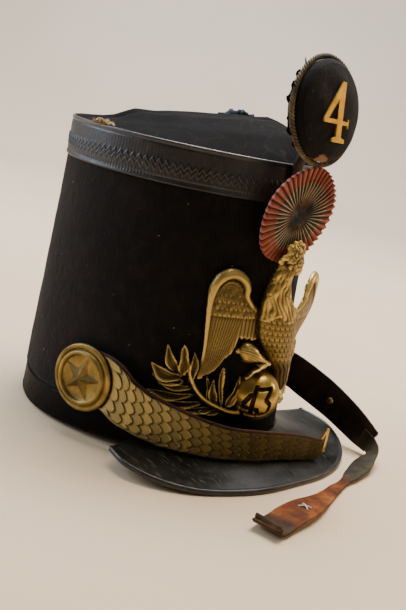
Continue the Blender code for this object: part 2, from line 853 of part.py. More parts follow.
def build_pompon_number(parent):
    """Brass figure 4 on the pompon's front."""
    outer, inner = digit_outline()
    curve = bpy.data.curves.new("pompon_number", "CURVE")
    curve.dimensions = "2D"
    curve.fill_mode = "BOTH"
    curve.extrude = DIGIT_THICK / 2
    for outline in (outer, inner):
        spline = curve.splines.new("POLY")
        spline.points.add(len(outline) - 1)
        for point, (x, y) in zip(spline.points, outline):
            point.co = (x, y, 0, 1)
        spline.use_cyclic_u = True
    scratch = bpy.data.objects.new("digit_curve", curve)
    bpy.context.collection.objects.link(scratch)
    depsgraph = bpy.context.evaluated_depsgraph_get()
    mesh = bpy.data.meshes.new_from_object(scratch.evaluated_get(depsgraph))
    bpy.data.objects.remove(scratch)
    bm = bmesh.new()
    bm.from_mesh(mesh)
    bmesh.ops.remove_doubles(bm, verts=bm.verts, dist=1e-6)
    rise = POMPON_DOME + GAP + DIGIT_THICK / 2
    bm.transform(pompon_frame() @ Matrix.Translation((DIGIT_ASIDE, 0, rise)))
    finish = material("number_brass", (0.60, 0.42, 0.12), 0.35, 1.0)
    return add_object("pompon_number", bm, finish, parent)


def build_pompon_stem(parent):
    """Flat stem from behind the cockade up to the pompon's back."""
    frame = pompon_frame()
    back = -(POMPON_THICK + GAP + BACKING_THICK + GAP + STEM_THICK / 2)
    lower = [body_point(0.0, height, stem_offset())
             for height in (STEM_FOOT_HEIGHT, BODY_HEIGHT - TOP_BAND_HEIGHT, BODY_HEIGHT)]
    upper = [frame @ Vector((0, share * POMPON_RADIUS, back)) for share in (-0.55, 0.35)]
    route = lower + upper
    rings = []
    for k, point in enumerate(route):
        run = (route[min(k + 1, len(route) - 1)] - route[max(k - 1, 0)]).normalized()
        out = Vector((0, run.z, -run.y))
        wide = Vector((STEM_WIDTH / 2, 0, 0))
        deep = out * STEM_THICK / 2
        rings.append([point - wide - deep, point + wide - deep,
                      point + wide + deep, point - wide + deep])
    finish = material("stem_leather", (0.05, 0.03, 0.02), 0.6)
    return add_object("pompon_stem", loft(rings), finish, parent)


class StrapRoute:
    """Route of one chin strap: where its middle runs and which way its face looks."""

    def __init__(self, side, table):
        self.side = side
        angle = side * BOSS_ANGLE
        self.centre = body_point(angle, BOSS_HEIGHT - BOSS_RADIUS, BAND_OUT + SEAT)
        self.centre.z = BOSS_HEIGHT
        self.forward = Vector((-side * BOTTOM_HALF_WIDTH * math.cos(angle),
                               -BOTTOM_HALF_DEPTH * abs(math.sin(angle)), 0)).normalized()
        self.rows = []
        self.lengths = []
        for along, half_width in ((-0.86, 0.40), (-0.60, 0.70), (0.0, 0.84), (1.0, 0.78)):
            place = self.centre + self.forward * along * BOSS_RADIUS
            self.rows.append((*place, half_width * BOSS_RADIUS))
        for turn, stand, up, half_width in table:
            stand_off = BAND_OUT + GAP + stand * PEAK_REACH
            place = body_point(math.radians(turn), up * BOSS_HEIGHT, stand_off)
            self.rows.append((*place, half_width * BOSS_RADIUS))
        self.steps = path_steps(self.rows)
        self.measure()

    def measure(self):
        """Lists the length travelled along the route at many places."""
        last = len(self.rows) - 1
        samples = 20 * last
        travelled = 0.0
        before = Vector(self.rows[0][:3])
        for k in range(samples + 1):
            position = last * k / samples
            middle = Vector(smooth_row(self.rows, position, self.steps)[:3])
            travelled += (middle - before).length
            before = middle
            self.lengths.append((travelled, position))
        self.length = travelled

    def place(self, length):
        """The same as station, at a length along the route."""
        for (run_a, place_a), (run_b, place_b) in zip(self.lengths, self.lengths[1:]):
            if run_b >= length:
                share = (length - run_a) / (run_b - run_a)
                return self.station(mix(place_a, place_b, share))
        return self.station(self.lengths[-1][1])

    def station(self, position):
        """Middle, run, rise and outward directions and half width at a place on the route."""
        step = 0.05
        last = len(self.rows) - 1
        row = smooth_row(self.rows, position, self.steps)
        ahead = smooth_row(self.rows, min(position + step, last), self.steps)
        behind = smooth_row(self.rows, max(position - step, 0.0), self.steps)
        middle = Vector(row[:3])
        run = (Vector(ahead[:3]) - Vector(behind[:3])).normalized()
        rise = (Vector((0, 0, 1)) - run * run.z).normalized()
        out = run.cross(rise) * -self.side
        return middle, run, rise, out, row[3]


def build_strap(name, route, parent):
    """Leather strap that carries the scales."""
    count = math.ceil(route.length / (0.5 * SCALE_PITCH))
    rings = []
    for k in range(count + 1):
        middle, run, rise, out, half_width = route.place(route.length * k / count)
        wide = rise * half_width
        deep = out * STRAP_WALL
        rings.append([middle - wide, middle + wide, middle + wide + deep, middle - wide + deep])
    finish = material(name + "_leather", (0.05, 0.03, 0.02), 0.6)
    return add_object(name, loft(rings), finish, parent)


def clear_of_boss(route, share):
    """Shortest length at which a line along the strap has left the boss's round edge."""
    length = BOSS_RADIUS
    while length < route.length:
        middle, run, rise, out, half_width = route.place(length)
        spot = middle + rise * share * (half_width - 2 * GAP) - route.centre
        if spot.length >= BOSS_RADIUS + SCALE_CLEAR:
            return length
        length += GAP
    return length


def scale_ring(route, starts, along, lift, lobe):
    """One line across the scales: their faces, then their back on the strap."""
    columns = len(starts) - 1
    ring = []
    back = []
    for j, start in enumerate(starts):
        length = mix(start, route.length, along)
        middle, run, rise, out, half_width = route.place(length + lobe * (j % 2))
        share = 2 * j / columns - 1
        spot = middle + rise * share * (half_width - 2 * GAP)
        ring.append(spot + out * (STRAP_WALL + SEAT + lift))
        if j % 2 == 0:
            back.append(spot + out * (STRAP_WALL + SEAT))
    return ring + back[::-1]


def build_scales(name, route, parent):
    """Brass fish scales on the strap: rows of round lobes, each row over the next."""
    columns = 2 * SCALE_LOBES
    starts = [clear_of_boss(route, 2 * j / columns - 1) for j in range(columns + 1)]
    run = route.length - starts[SCALE_LOBES]
    rows = max(round(run / SCALE_PITCH), 2)
    lobe = 0.45 * run / rows
    rings = [scale_ring(route, starts, 0.0, SCALE_WALL, 0.0)]
    for k in range(1, rows):
        rings.append(scale_ring(route, starts, (k - 0.3) / rows, SCALE_WALL + SCALE_STEP, lobe))
        rings.append(scale_ring(route, starts, (k - 0.2) / rows, SCALE_WALL, lobe))
    rings.append(scale_ring(route, starts, 1.0, SCALE_WALL, 0.0))
    last = len(rings[0]) - 1
    ends = [(2 * k, 2 * k + 1, 2 * k + 2, last - k - 1, last - k) for k in range(SCALE_LOBES)]
    finish = material(name + "_brass", (0.36, 0.25, 0.09), 0.4, 1.0)
    return add_object(name, loft(rings, ends=ends), finish, parent)


def build_boss(name, route, parent):
    """Round brass boss with stepped rings and a raised five-pointed star."""
    out = route.station(2.0)[3]
    run = route.forward
    rise = out.cross(run).normalized()
    if rise.z < 0:
        rise = -rise
    origin = route.centre + out * (STRAP_WALL + SEAT)
    steps = 4
    sides = STAR_POINTS * steps

    def circle(radius):
        return [radius] * sides

    def star(radius):
        reach = []
        for k in range(sides):
            fold = abs(2 * (k % steps) / steps - 1)
            reach.append(radius * mix(0.42, 1.0, fold ** 1.4))
        return reach

    profile = (
        # radii, lift
        (circle(BOSS_RADIUS), 0.0),
        (circle(BOSS_RADIUS), 0.30 * BOSS_THICK),
        (circle(0.93 * BOSS_RADIUS), 0.62 * BOSS_THICK),
        (circle(0.84 * BOSS_RADIUS), 0.55 * BOSS_THICK),
        (circle(0.78 * BOSS_RADIUS), 0.90 * BOSS_THICK),
        (circle(0.70 * BOSS_RADIUS), 0.95 * BOSS_THICK),
        (circle(0.64 * BOSS_RADIUS), 0.70 * BOSS_THICK),
        (star(STAR_RADIUS), 0.72 * BOSS_THICK),
        (star(0.12 * STAR_RADIUS), 0.72 * BOSS_THICK + STAR_RELIEF),
    )
    rings = []
    for radii, lift in profile:
        rings.append([
            origin + out * lift + radius * (rise * math.cos(a) + run * math.sin(a))
            for radius, a in zip(radii, turns(sides))
        ])
    finish = material(name + "_brass", (0.42, 0.29, 0.10), 0.35, 1.0)
    return add_object(name, loft(rings), finish, parent)


def build_clasp(route, parent):
    """Bent brass clasp at the strap's narrow end."""
    last = len(route.rows) - 1
    middle, run, rise, out, half_width = route.station(last)
    start = middle + run * (GAP + CLASP_WIDTH / 2)
    path = [
        start + rise * half_width * 0.8,
        start + run * 0.45 * CLASP_RISE + rise * (half_width + CLASP_RISE),
        start + run * 0.75 * CLASP_RISE - rise * half_width * 0.6,
    ]
    asides = (run * CLASP_WIDTH / 2, rise * -0.9 * CLASP_WIDTH, run * -CLASP_WIDTH / 2)
    rings = []
    for point, aside in zip(path, asides):
        rings.append([point - aside, point + aside,
                      point + aside + out * CLASP_WALL, point - aside + out * CLASP_WALL])
    finish = material("clasp_brass", (0.65, 0.45, 0.14), 0.25, 1.0)
    return add_object("clasp_right", loft(rings), finish, parent)


def build_strap_rivet(route, parent):
    """Rivet head on the inner side of the hanging strap."""
    middle, run, rise, out, half_width = route.station(6.0)
    centre = middle + rise * 0.05 * half_width - out * GAP
    rings = []
    for share, lift in ((1.0, 0.0), (0.85, 0.7), (0.35, 1.0)):
        rings.append([
            centre - out * lift * RIVET_HEIGHT
            + share * RIVET_RADIUS * (rise * math.cos(a) + run * math.sin(a))
            for a in turns(12)
        ])
    finish = material("rivet_metal", (0.4, 0.33, 0.25), 0.4, 1.0)
    return add_object("strap_rivet_left", loft(rings), finish, parent)


def build_tie(route, parent):
    """Thin leather tie from inside the hanging strap's end, lying along the table."""
    middle, run, rise, out, _ = route.station(len(route.rows) - 1)
    inside = middle - out * (SEAT + TIE_WALL / 2)
    rows = []
    for along in (-TIE_LAP, -0.4 * TIE_LAP):
        rows.append((*(inside + run * along), 0.5, 0.0))
    for side, forward, height, half_width, flat in TIE_ROUTE:
        rows.append((side * PEAK_HALF_WIDTH, -forward * (BOTTOM_HALF_DEPTH + PEAK_REACH),
                     height, half_width, flat))
    last = len(rows) - 1
    steps = path_steps(rows)
    count = 3 * last
    rings = []
    for k in range(count + 1):
        position = last * k / count
        row = smooth_row(rows, position, steps)
        ahead = Vector(smooth_row(rows, min(position + 0.1, last), steps)[:3])
        behind = Vector(smooth_row(rows, max(position - 0.1, 0.0), steps)[:3])
        path = (ahead - behind).normalized()
        level = path.cross(Vector((0, 0, 1))).normalized()
        wide = (-rise).lerp(level, min(max(row[4], 0.0), 1.0))
        wide = (wide - path * wide.dot(path)).normalized()
        deep = path.cross(wide) * TIE_WALL / 2
        wide = wide * row[3] * TIE_HALF_WIDTH
        place = Vector(row[:3])
        rings.append([place - wide - deep, place + wide - deep,
                      place + wide + deep, place - wide + deep])
    finish = material("tie_leather", (0.22, 0.11, 0.06), 0.7)
    return add_object("tie_left", loft(rings), finish, parent)


def build_hat():
    """Builds every piece under one parent whose place puts the origin under the rear rim."""
    for old in list(bpy.data.objects):
        bpy.data.objects.remove(old)
    hat = bpy.data.objects.new("hat", None)
    bpy.context.collection.objects.link(hat)
    build_felt_body(hat)
    build_crown_top(hat)
    build_top_band(hat)
    build_base_band(hat)
    build_peak(hat)
    build_peak_binding(hat)
    build_cockerel_plate(hat)
    build_cockade(hat)
    build_cockade_post(hat)
    build_pompon_body(hat)
    build_pompon_backing(hat)
    build_pompon_cord(hat)
    build_pompon_number(hat)
    build_pompon_stem(hat)
    right = StrapRoute(-1, RIGHT_ROUTE)
    left = StrapRoute(1, LEFT_ROUTE)
    build_strap("strap_right", right, hat)
    build_strap("strap_left", left, hat)
    build_scales("scales_right", right, hat)
    build_scales("scales_left", left, hat)
    build_boss("boss_right", right, hat)
    build_boss("boss_left", left, hat)
    build_clasp(right, hat)
    build_strap_rivet(left, hat)
    build_tie(left, hat)
    hat.location = (0, -(BOTTOM_HALF_DEPTH - FELT_WALL / 2), 0)
    bpy.context.view_layer.update()


build_hat()
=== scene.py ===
"""A worn felt shako with a leather crown, bands and peak, a brass cockerel plate, a pleated
cockade, a cloth pompon and brass chin scales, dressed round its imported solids. Lengths in mm
unless a name says otherwise; the hat faces -Y and the wearer's left is +X."""

import math

import bmesh
import bpy
import numpy as np
from mathutils import Matrix, Vector


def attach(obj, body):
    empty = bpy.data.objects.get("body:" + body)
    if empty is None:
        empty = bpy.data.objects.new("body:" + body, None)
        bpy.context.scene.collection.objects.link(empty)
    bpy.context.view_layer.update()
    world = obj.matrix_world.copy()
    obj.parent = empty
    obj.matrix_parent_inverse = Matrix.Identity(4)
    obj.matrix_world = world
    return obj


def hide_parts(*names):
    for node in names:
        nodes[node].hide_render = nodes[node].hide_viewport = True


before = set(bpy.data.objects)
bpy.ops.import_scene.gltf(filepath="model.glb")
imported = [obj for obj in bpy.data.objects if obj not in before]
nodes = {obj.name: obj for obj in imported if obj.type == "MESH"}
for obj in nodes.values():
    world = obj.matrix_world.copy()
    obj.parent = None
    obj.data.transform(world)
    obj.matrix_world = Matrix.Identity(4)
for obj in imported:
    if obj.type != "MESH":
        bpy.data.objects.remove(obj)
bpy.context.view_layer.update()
bpy.ops.object.select_all(action="DESELECT")

# Camera: at the photograph's viewing angle, with the same roll to one side.
MM = 0.001
camera = bpy.data.objects.new("camera", bpy.data.cameras.new("camera"))
bpy.context.scene.collection.objects.link(camera)
camera.data.lens = 50.78
camera.data.clip_end = 20.0
camera.matrix_world = Matrix((
    (0.68306, 0.03366, -0.72958, -0.45973),
    (-0.70289, 0.30167, -0.64415, -0.54261),
    (0.19841, 0.95282, 0.22972, 0.23725),
    (0.0, 0.0, 0.0, 1.0),
))
bpy.context.scene.camera = camera


# Felt body: an oval tube of stiff black wool felt, brushed to a short nap, blocked on a form
# and sewn up the back. Wear has rubbed it brown in places and dusted it with pale lint.
HAT_CENTRE_Y = -100.5
BODY_HEIGHT = 206.5
FELT_HALF_WIDTH = 92.0
FELT_HALF_DEPTH = 101.9
FELT_TAPER = (3.5, 10.4)
TOP_SHIFT = 1.3
RIM_RISE = 14.6
FELT_WALL = 2.8
PIECE_GAP = 0.3


def on_felt(angle, height, offset=0.0):
    """Places on the felt's outside, or offset outside it; angle 0 is the front."""
    share = height / BODY_HEIGHT
    half_width = FELT_HALF_WIDTH - FELT_TAPER[0] * share + offset
    half_depth = FELT_HALF_DEPTH - FELT_TAPER[1] * share + offset
    return np.stack(np.broadcast_arrays(
        half_width * np.sin(angle),
        HAT_CENTRE_Y + TOP_SHIFT * share - half_depth * np.cos(angle),
        height), -1).astype(float)


def rim_height(angle):
    """Lower edge of the felt: flat behind, rising to the front."""
    forward = np.maximum(40.0 + FELT_HALF_DEPTH * np.cos(angle), 0.0)
    return RIM_RISE * (forward / (40.0 + FELT_HALF_DEPTH)) ** 1.5


def top_height(angle):
    """Upper edge of the felt, a little lower in front than behind."""
    return BODY_HEIGHT - 1.4 - 0.4 * np.cos(angle)


def ring_of(count):
    """Angles evenly round a full turn."""
    return np.linspace(0.0, 2 * math.pi, count, endpoint=False)


def ripple(points, scale, seed=0.0):
    """Soft unevenness between -1 and 1 at places in mm, built from a few slanted waves."""
    total = np.zeros(points.shape[:-1])
    for k in range(6):
        turn = 2.4 * k + seed
        way = np.array([math.cos(turn), math.sin(1.7 * turn + 0.6), math.cos(2.3 * turn + 1.9)])
        total += np.sin(points @ way * (1.0 + 0.37 * k) / scale + 5.1 * k + seed)
    return total / 6.0


def unit(rows):
    """Directions of length 1."""
    return rows / np.linalg.norm(rows, axis=-1, keepdims=True)


def corners_of(grid):
    """Corner numbers of the faces between neighbours in a grid of vertex numbers."""
    return np.stack([grid[:-1, :-1], grid[:-1, 1:], grid[1:, 1:], grid[1:, :-1]], -1)


def mesh_piece(name, places, faces):
    """A piece from places in mm and the vertex numbers of its faces."""
    mesh = bpy.data.meshes.new(name)
    mesh.from_pydata((np.asarray(places, float) * MM).tolist(), [], faces)
    piece = bpy.data.objects.new(name, mesh)
    bpy.context.scene.collection.objects.link(piece)
    return piece


def face_outwards(piece, merge=True, fill=False, smooth=True):
    """Merges a piece's doubles, fills its holes if asked and turns every face outwards."""
    shell = bmesh.new()
    shell.from_mesh(piece.data)
    if merge:
        bmesh.ops.remove_doubles(shell, verts=shell.verts, dist=1e-6)
    if fill:
        bmesh.ops.holes_fill(shell, edges=[e for e in shell.edges if e.is_boundary])
    bmesh.ops.recalc_face_normals(shell, faces=shell.faces)
    shell.to_mesh(piece.data)
    shell.free()
    if smooth:
        piece.data.shade_smooth()


def sheet_mesh(name, points, around=False, along=False):
    """A piece from rows of places in mm, each row joined to the next; around closes each row
    on itself, along joins the last row to the first, and open tubes get end faces."""
    points = np.asarray(points)
    grid = np.arange(points[..., 0].size).reshape(points.shape[:2])
    ends = [grid[0, ::-1].tolist(), grid[-1].tolist()] if around and not along else []
    if around:
        grid = np.column_stack([grid, grid[:, 0]])
    if along:
        grid = np.vstack([grid, grid[0]])
    piece = mesh_piece(name, points.reshape(-1, 3), corners_of(grid).reshape(-1, 4).tolist() + ends)
    face_outwards(piece)
    return piece


def mark(piece, name, values):
    """Stores one value for each of a piece's vertices, for its material to read."""
    layer = piece.data.attributes.new(name, "FLOAT", "POINT")
    values = np.resize(np.ravel(values), len(piece.data.vertices))
    layer.data.foreach_set("value", values.astype(np.float32))


def dress(piece, finish, *replaced, slot=None):
    """Gives a piece its finish, its place on the hat and the solids it stands for."""
    piece.data.materials.clear()
    piece.data.materials.append(finish)
    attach(piece, "root")
    if replaced:
        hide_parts(*replaced)


def tone(code):
    """Linear colour of an sRGB hex code."""
    parts = [int(code[k:k + 2], 16) / 255 for k in (1, 3, 5)]
    return tuple(p / 12.92 if p <= 0.04045 else ((p + 0.055) / 1.055) ** 2.4
                 for p in parts) + (1.0,)


def add_node(finish, kind, **settings):
    """Adds a shader node with its settings and links. A node, or a node and its output's name,
    is joined to the input; stops fill a ramp, and values fill nameless inputs in turn."""
    made = finish.node_tree.nodes.new("ShaderNode" + kind)
    feeds = list(enumerate(settings.pop("values", ())))
    if "stops" in settings:
        stops = settings.pop("stops")
        ramp = made.color_ramp
        while len(ramp.elements) < len(stops):
            ramp.elements.new(0.5)
        for stop, (place, colour) in zip(ramp.elements, stops):
            stop.position = place
            stop.color = tone(colour) if isinstance(colour, str) else (colour,) * 3 + (1.0,)
    for name, value in settings.items():
        socket = name.replace("_", " ")
        if socket in made.inputs:
            feeds.append((socket, value))
        else:
            setattr(made, name, value)
    for socket, value in feeds:
        origin, output = value if isinstance(value, tuple) and len(value) == 2 else (value, 0)
        if isinstance(origin, bpy.types.Node):
            finish.node_tree.links.new(origin.outputs[output], made.inputs[socket])
        else:
            made.inputs[socket].default_value = value
    return made


def new_finish(name):
    """An empty material, and places on its piece in metres for its patterns."""
    finish = bpy.data.materials.new(name)
    finish.use_nodes = True
    finish.node_tree.nodes.clear()
    return finish, (add_node(finish, "TexCoord"), "Object")


# Felt hardly reflects: the nap breaks up the light, its fibre tips catch a grey bloom, and
# rubbed patches show brown under scattered lint.
felt_finish, place = new_finish("brushed black wool felt")
fibre_way = add_node(felt_finish, "Mapping", Scale=(1.0, 1.0, 0.75), Vector=place)
fibres = add_node(felt_finish, "TexNoise", Scale=620.0, Detail=5.0, Roughness=0.7, Distortion=0.6,
                  Vector=fibre_way)
tufts = add_node(felt_finish, "TexNoise", Scale=130.0, Detail=6.0, Roughness=0.65, Vector=fibre_way)
rubs = add_node(felt_finish, "TexNoise", Scale=17.0, Detail=4.0, Roughness=0.6, Vector=place)
rub_share = add_node(felt_finish, "ValToRGB", Fac=rubs, stops=((0.54, 0.0), (0.76, 0.6)))
nap_tone = add_node(felt_finish, "ValToRGB", Fac=tufts,
                    stops=((0.30, "#040404"), (0.52, "#090808"), (0.74, "#191615")))
wear_and_painted_light = add_node(felt_finish, "MixRGB", Fac=rub_share, Color1=nap_tone, Color2=tone("#21130f"))
lint = add_node(felt_finish, "TexVoronoi", Scale=150.0, Vector=place)
lint_spots = add_node(felt_finish, "ValToRGB", Fac=lint, stops=((0.05, 0.9), (0.08, 0.0)))
lint_gate = add_node(felt_finish, "ValToRGB", Fac=tufts, stops=((0.55, 0.0), (0.59, 1.0)))
lint_share = add_node(felt_finish, "Math", operation="MULTIPLY", values=(lint_spots, lint_gate))
linted = add_node(felt_finish, "MixRGB", Fac=lint_share, Color1=wear_and_painted_light, Color2=tone("#a39a8e"))
tuft_bump = add_node(felt_finish, "Bump", Strength=0.8, Distance=0.0012, Height=tufts)
nap_bump = add_node(felt_finish, "Bump", Strength=0.9, Distance=0.0007, Height=fibres,
                    Normal=tuft_bump)
shader = add_node(felt_finish, "BsdfPrincipled", Base_Color=linted, Roughness=0.93,
                  Specular_IOR_Level=0.2, Sheen_Weight=0.13, Sheen_Roughness=0.45,
                  Sheen_Tint=tone("#b8aca4"), Normal=nap_bump)
add_node(felt_finish, "OutputMaterial", Surface=shader)

FELT_SIDES = 240
SAG_SIDE = math.radians(40)
around = ring_of(FELT_SIDES)
felt_rows = []
for share in np.linspace(0.0, 1.0, 90):
    height = rim_height(around) + (top_height(around) - rim_height(around)) * share
    wall = on_felt(around, height)
    ease = min(share, 1.0 - share, 0.06) / 0.06
    swell = 0.55 * ripple(wall, 24.0) + 0.16 * ripple(wall, 5.0, 2.0) - 0.25
    sag = 2.6 * (1.0 - share) * (0.5 - 0.5 * np.cos(around - SAG_SIDE))
    sag = sag * np.clip((height - rim_height(around) - 19.0) / 4.0, 0.0, 1.0)
    felt_rows.append(on_felt(around, height, (swell + sag) * ease))
for share in np.linspace(1.0, 0.0, 30):
    height = rim_height(around) + (top_height(around) - rim_height(around)) * share
    felt_rows.append(on_felt(around, height, -FELT_WALL))
felt_body = sheet_mesh("felt_body_nap", felt_rows, around=True, along=True)
dress(felt_body, felt_finish, "felt_body")


# Crown: a disc of blackened leather let into the top, long ago warped upwards towards the
# wearer's front left, cracked and creased. The leather is almost matt, so that only its cracks
# and its warp catch the light.
leather_crown, place = new_finish("cracked blackened leather")
blotch = add_node(leather_crown, "TexNoise", Scale=22.0, Detail=5.0, Roughness=0.6, Vector=place)
bent = add_node(leather_crown, "TexNoise", Scale=30.0, Detail=3.0, Vector=place)
crack_place = add_node(leather_crown, "MixRGB", Fac=0.05, blend_type="ADD", Color1=place,
                       Color2=(bent, "Color"))
cracks = add_node(leather_crown, "TexVoronoi", Scale=42.0, feature="DISTANCE_TO_EDGE",
                  Vector=crack_place)
crown_tone = add_node(leather_crown, "ValToRGB", Fac=blotch,
                      stops=((0.30, "#050505"), (0.52, "#0b0a09"), (0.72, "#1c1916")))
crack_share = add_node(leather_crown, "ValToRGB", Fac=cracks, stops=((0.0, 0.40), (0.025, 0.0)))
crown_cracked = add_node(leather_crown, "MixRGB", Fac=crack_share, Color1=crown_tone,
                         Color2=tone("#352e28"))
grain = add_node(leather_crown, "TexVoronoi", Scale=620.0, feature="DISTANCE_TO_EDGE", Vector=place)
grain_bump = add_node(leather_crown, "Bump", Strength=0.35, Distance=0.0003, Height=grain)
crack_bump = add_node(leather_crown, "Bump", Strength=0.5, Distance=0.0006, Height=cracks,
                      Normal=grain_bump)
crown_gloss = add_node(leather_crown, "ValToRGB", Fac=blotch, stops=((0.3, 0.66), (0.7, 0.85)))
shader = add_node(leather_crown, "BsdfPrincipled", Base_Color=crown_cracked,
                  Specular_IOR_Level=0.06, Roughness=crown_gloss, Normal=crack_bump)
add_node(leather_crown, "OutputMaterial", Surface=shader)

CROWN_WALL = 2.0
CROWN_RISE = 27.0
CROWN_HIGH_SIDE = math.radians(46)
CROWN_PROFILE = np.array((
    # radius, low_side, high_side
    (0.05, 0.62, 0.66),
    (0.25, 0.56, 0.82),
    (0.55, 0.40, 0.91),
    (0.70, 0.17, 0.79),
    (0.80, 0.09, 0.68),
    (0.94, 0.03, 0.22),
    (1.00, 0.00, 0.00),
))


def crown_places(reach, drop):
    """One ring of the crown at a share of its radius."""
    low = np.interp(reach, CROWN_PROFILE[:, 0], CROWN_PROFILE[:, 1])
    high = np.interp(reach, CROWN_PROFILE[:, 0], CROWN_PROFILE[:, 2])
    weight = 0.5 + 0.5 * np.cos(around - CROWN_HIGH_SIDE)
    edge = on_felt(around, top_height(around) + PIECE_GAP + CROWN_WALL)
    ring = edge.copy()
    middle = HAT_CENTRE_Y + TOP_SHIFT
    ring[:, 0] = edge[:, 0] * reach
    ring[:, 1] = middle + (edge[:, 1] - middle) * reach
    rise = CROWN_RISE * (low + (high - low) * weight)
    # a crease and a fold beside it run across the crown towards the pompon
    across = (ring[:, 0] - 18.0) * 0.55 + (ring[:, 1] + 118.0) * 0.83
    crease = -2.6 * np.exp(-(across / 3.5) ** 2) * np.exp(-((reach - 0.62) / 0.3) ** 2)
    fold = 1.6 * np.exp(-((across - 9.0) / 5.0) ** 2) * np.exp(-((reach - 0.6) / 0.3) ** 2)
    uneven = 0.9 * ripple(ring, 13.0, 1.0) * min((1.0 - reach) / 0.12, 1.0)
    ring[:, 2] = edge[:, 2] + rise - drop + crease + fold + uneven
    return ring


reaches = np.append(np.linspace(0.02, 0.94, 44), np.linspace(0.955, 1.0, 4))
crown_rows = [crown_places(reach, 0.0) for reach in reaches]
crown_rows += [crown_places(reach, CROWN_WALL) for reach in reaches[::-2]]
dress(sheet_mesh("crown_leather", crown_rows, around=True), leather_crown, "crown_top")

# A torn edge of the crown's leather stands up on its far side, matt and mottled. Its blue-grey
# colour is a painted reflection of the cool light from behind.
torn_edge_painted_reflection, place = new_finish("torn leather edge with painted blue reflection")
torn_mottle = add_node(torn_edge_painted_reflection, "TexNoise", Scale=160.0, Detail=5.0, Vector=place)
# Painted reflection: these blue-grey tones stand for cool light caught on the torn edge.
torn_reflection_tone = add_node(torn_edge_painted_reflection, "ValToRGB", Fac=torn_mottle,
                     stops=((0.35, "#10141b"), (0.55, "#263446"), (0.75, "#47607f")))
shader = add_node(torn_edge_painted_reflection, "BsdfPrincipled", Base_Color=torn_reflection_tone, Roughness=0.7)
add_node(torn_edge_painted_reflection, "OutputMaterial", Surface=shader)
torn_share = np.linspace(0.0, 1.0, 70)
torn_up = 4.2 * np.sin(math.pi * torn_share) ** 0.7 + 0.9 * np.sin(torn_share * 21.0)
torn_up = np.clip(torn_up + 0.3 * np.sin(torn_share * 74.0), 0.6, 5.0) * (torn_share < 0.995)
ring_places = np.array([crown_places(reach, 0.0) for reach in np.linspace(0.4, 0.7, 31)])
torn_rows = []
for angle, share, up in zip(np.radians(np.linspace(80.0, 121.0, 70)), torn_share, torn_up):
    reach = 0.52 + 0.03 * math.sin(share * 9.0)
    column = int(round(angle / (2 * math.pi) * FELT_SIDES))
    foot = ring_places[int(round((reach - 0.4) * 100)), column]
    outward = np.array((math.sin(angle), -math.cos(angle), 0.0))
    torn_rows.append([foot - (0, 0, 0.8), foot + outward * 0.2 * up + (0, 0, up),
                      foot + outward * (0.2 * up + 0.8) + (0, 0, up * 0.9),
                      foot + outward * 1.2 - (0, 0, 0.9)])
torn_edge = sheet_mesh("crown_torn_edge", torn_rows, around=True)
dress(torn_edge, torn_edge_painted_reflection, slot="crown_top")


# Top band: blackened strap leather sewn round the top, tooled with two zigzags, rows of fine
# upright nicks and edge lines. Its upper edge has worn to bare tan leather.
BAND_WALL = 1.2
BAND_HEIGHT = 27.2
BAND_ABOVE = PIECE_GAP + CROWN_WALL + 0.4
ZIGZAGS = 122


def worn_leather(name, dark, mid, light, gloss, edge_attribute=None, shine=0.5, scuffed=0.45):
    """Blackened leather: pores, a dull bloom in patches, pale scuffs and, where an edge
    attribute is given, bare leather on its edges.
    """
    finish, place = new_finish(name)
    bloom = add_node(finish, "TexNoise", Scale=45.0, Detail=6.0, Roughness=0.65, Vector=place)
    scuffs = add_node(finish, "TexNoise", Scale=260.0, Detail=6.0, Roughness=0.7, Vector=place)
    colour = add_node(finish, "ValToRGB", Fac=bloom,
                      stops=((0.30, dark), (0.50, mid), (0.72, light)))
    scuff_share = add_node(finish, "ValToRGB", Fac=scuffs, stops=((0.60, 0.0), (0.78, scuffed)))
    colour = add_node(finish, "MixRGB", Fac=scuff_share, Color1=colour, Color2=tone("#6a635b"))
    if edge_attribute:
        bare = (add_node(finish, "Attribute", attribute_name=edge_attribute), "Fac")
        patchy = add_node(finish, "Math", operation="MULTIPLY", values=(bare, bloom))
        bare_share = add_node(finish, "ValToRGB", Fac=patchy, stops=((0.22, 0.0), (0.45, 0.9)))
        colour = add_node(finish, "MixRGB", Fac=bare_share, Color1=colour, Color2=tone("#5c4a38"))
    pores = add_node(finish, "TexVoronoi", Scale=900.0, Vector=place)
    pore_bump = add_node(finish, "Bump", Strength=0.3, Distance=0.0002, Height=pores)
    scuff_bump = add_node(finish, "Bump", Strength=0.35, Distance=0.0003, Height=scuffs,
                          Normal=pore_bump)
    rough = add_node(finish, "ValToRGB", Fac=scuffs, stops=((0.35, gloss), (0.75, gloss + 0.2)))
    shader = add_node(finish, "BsdfPrincipled", Base_Color=colour, Specular_IOR_Level=shine,
                      Roughness=rough, Normal=scuff_bump)
    add_node(finish, "OutputMaterial", Surface=shader)
    return finish


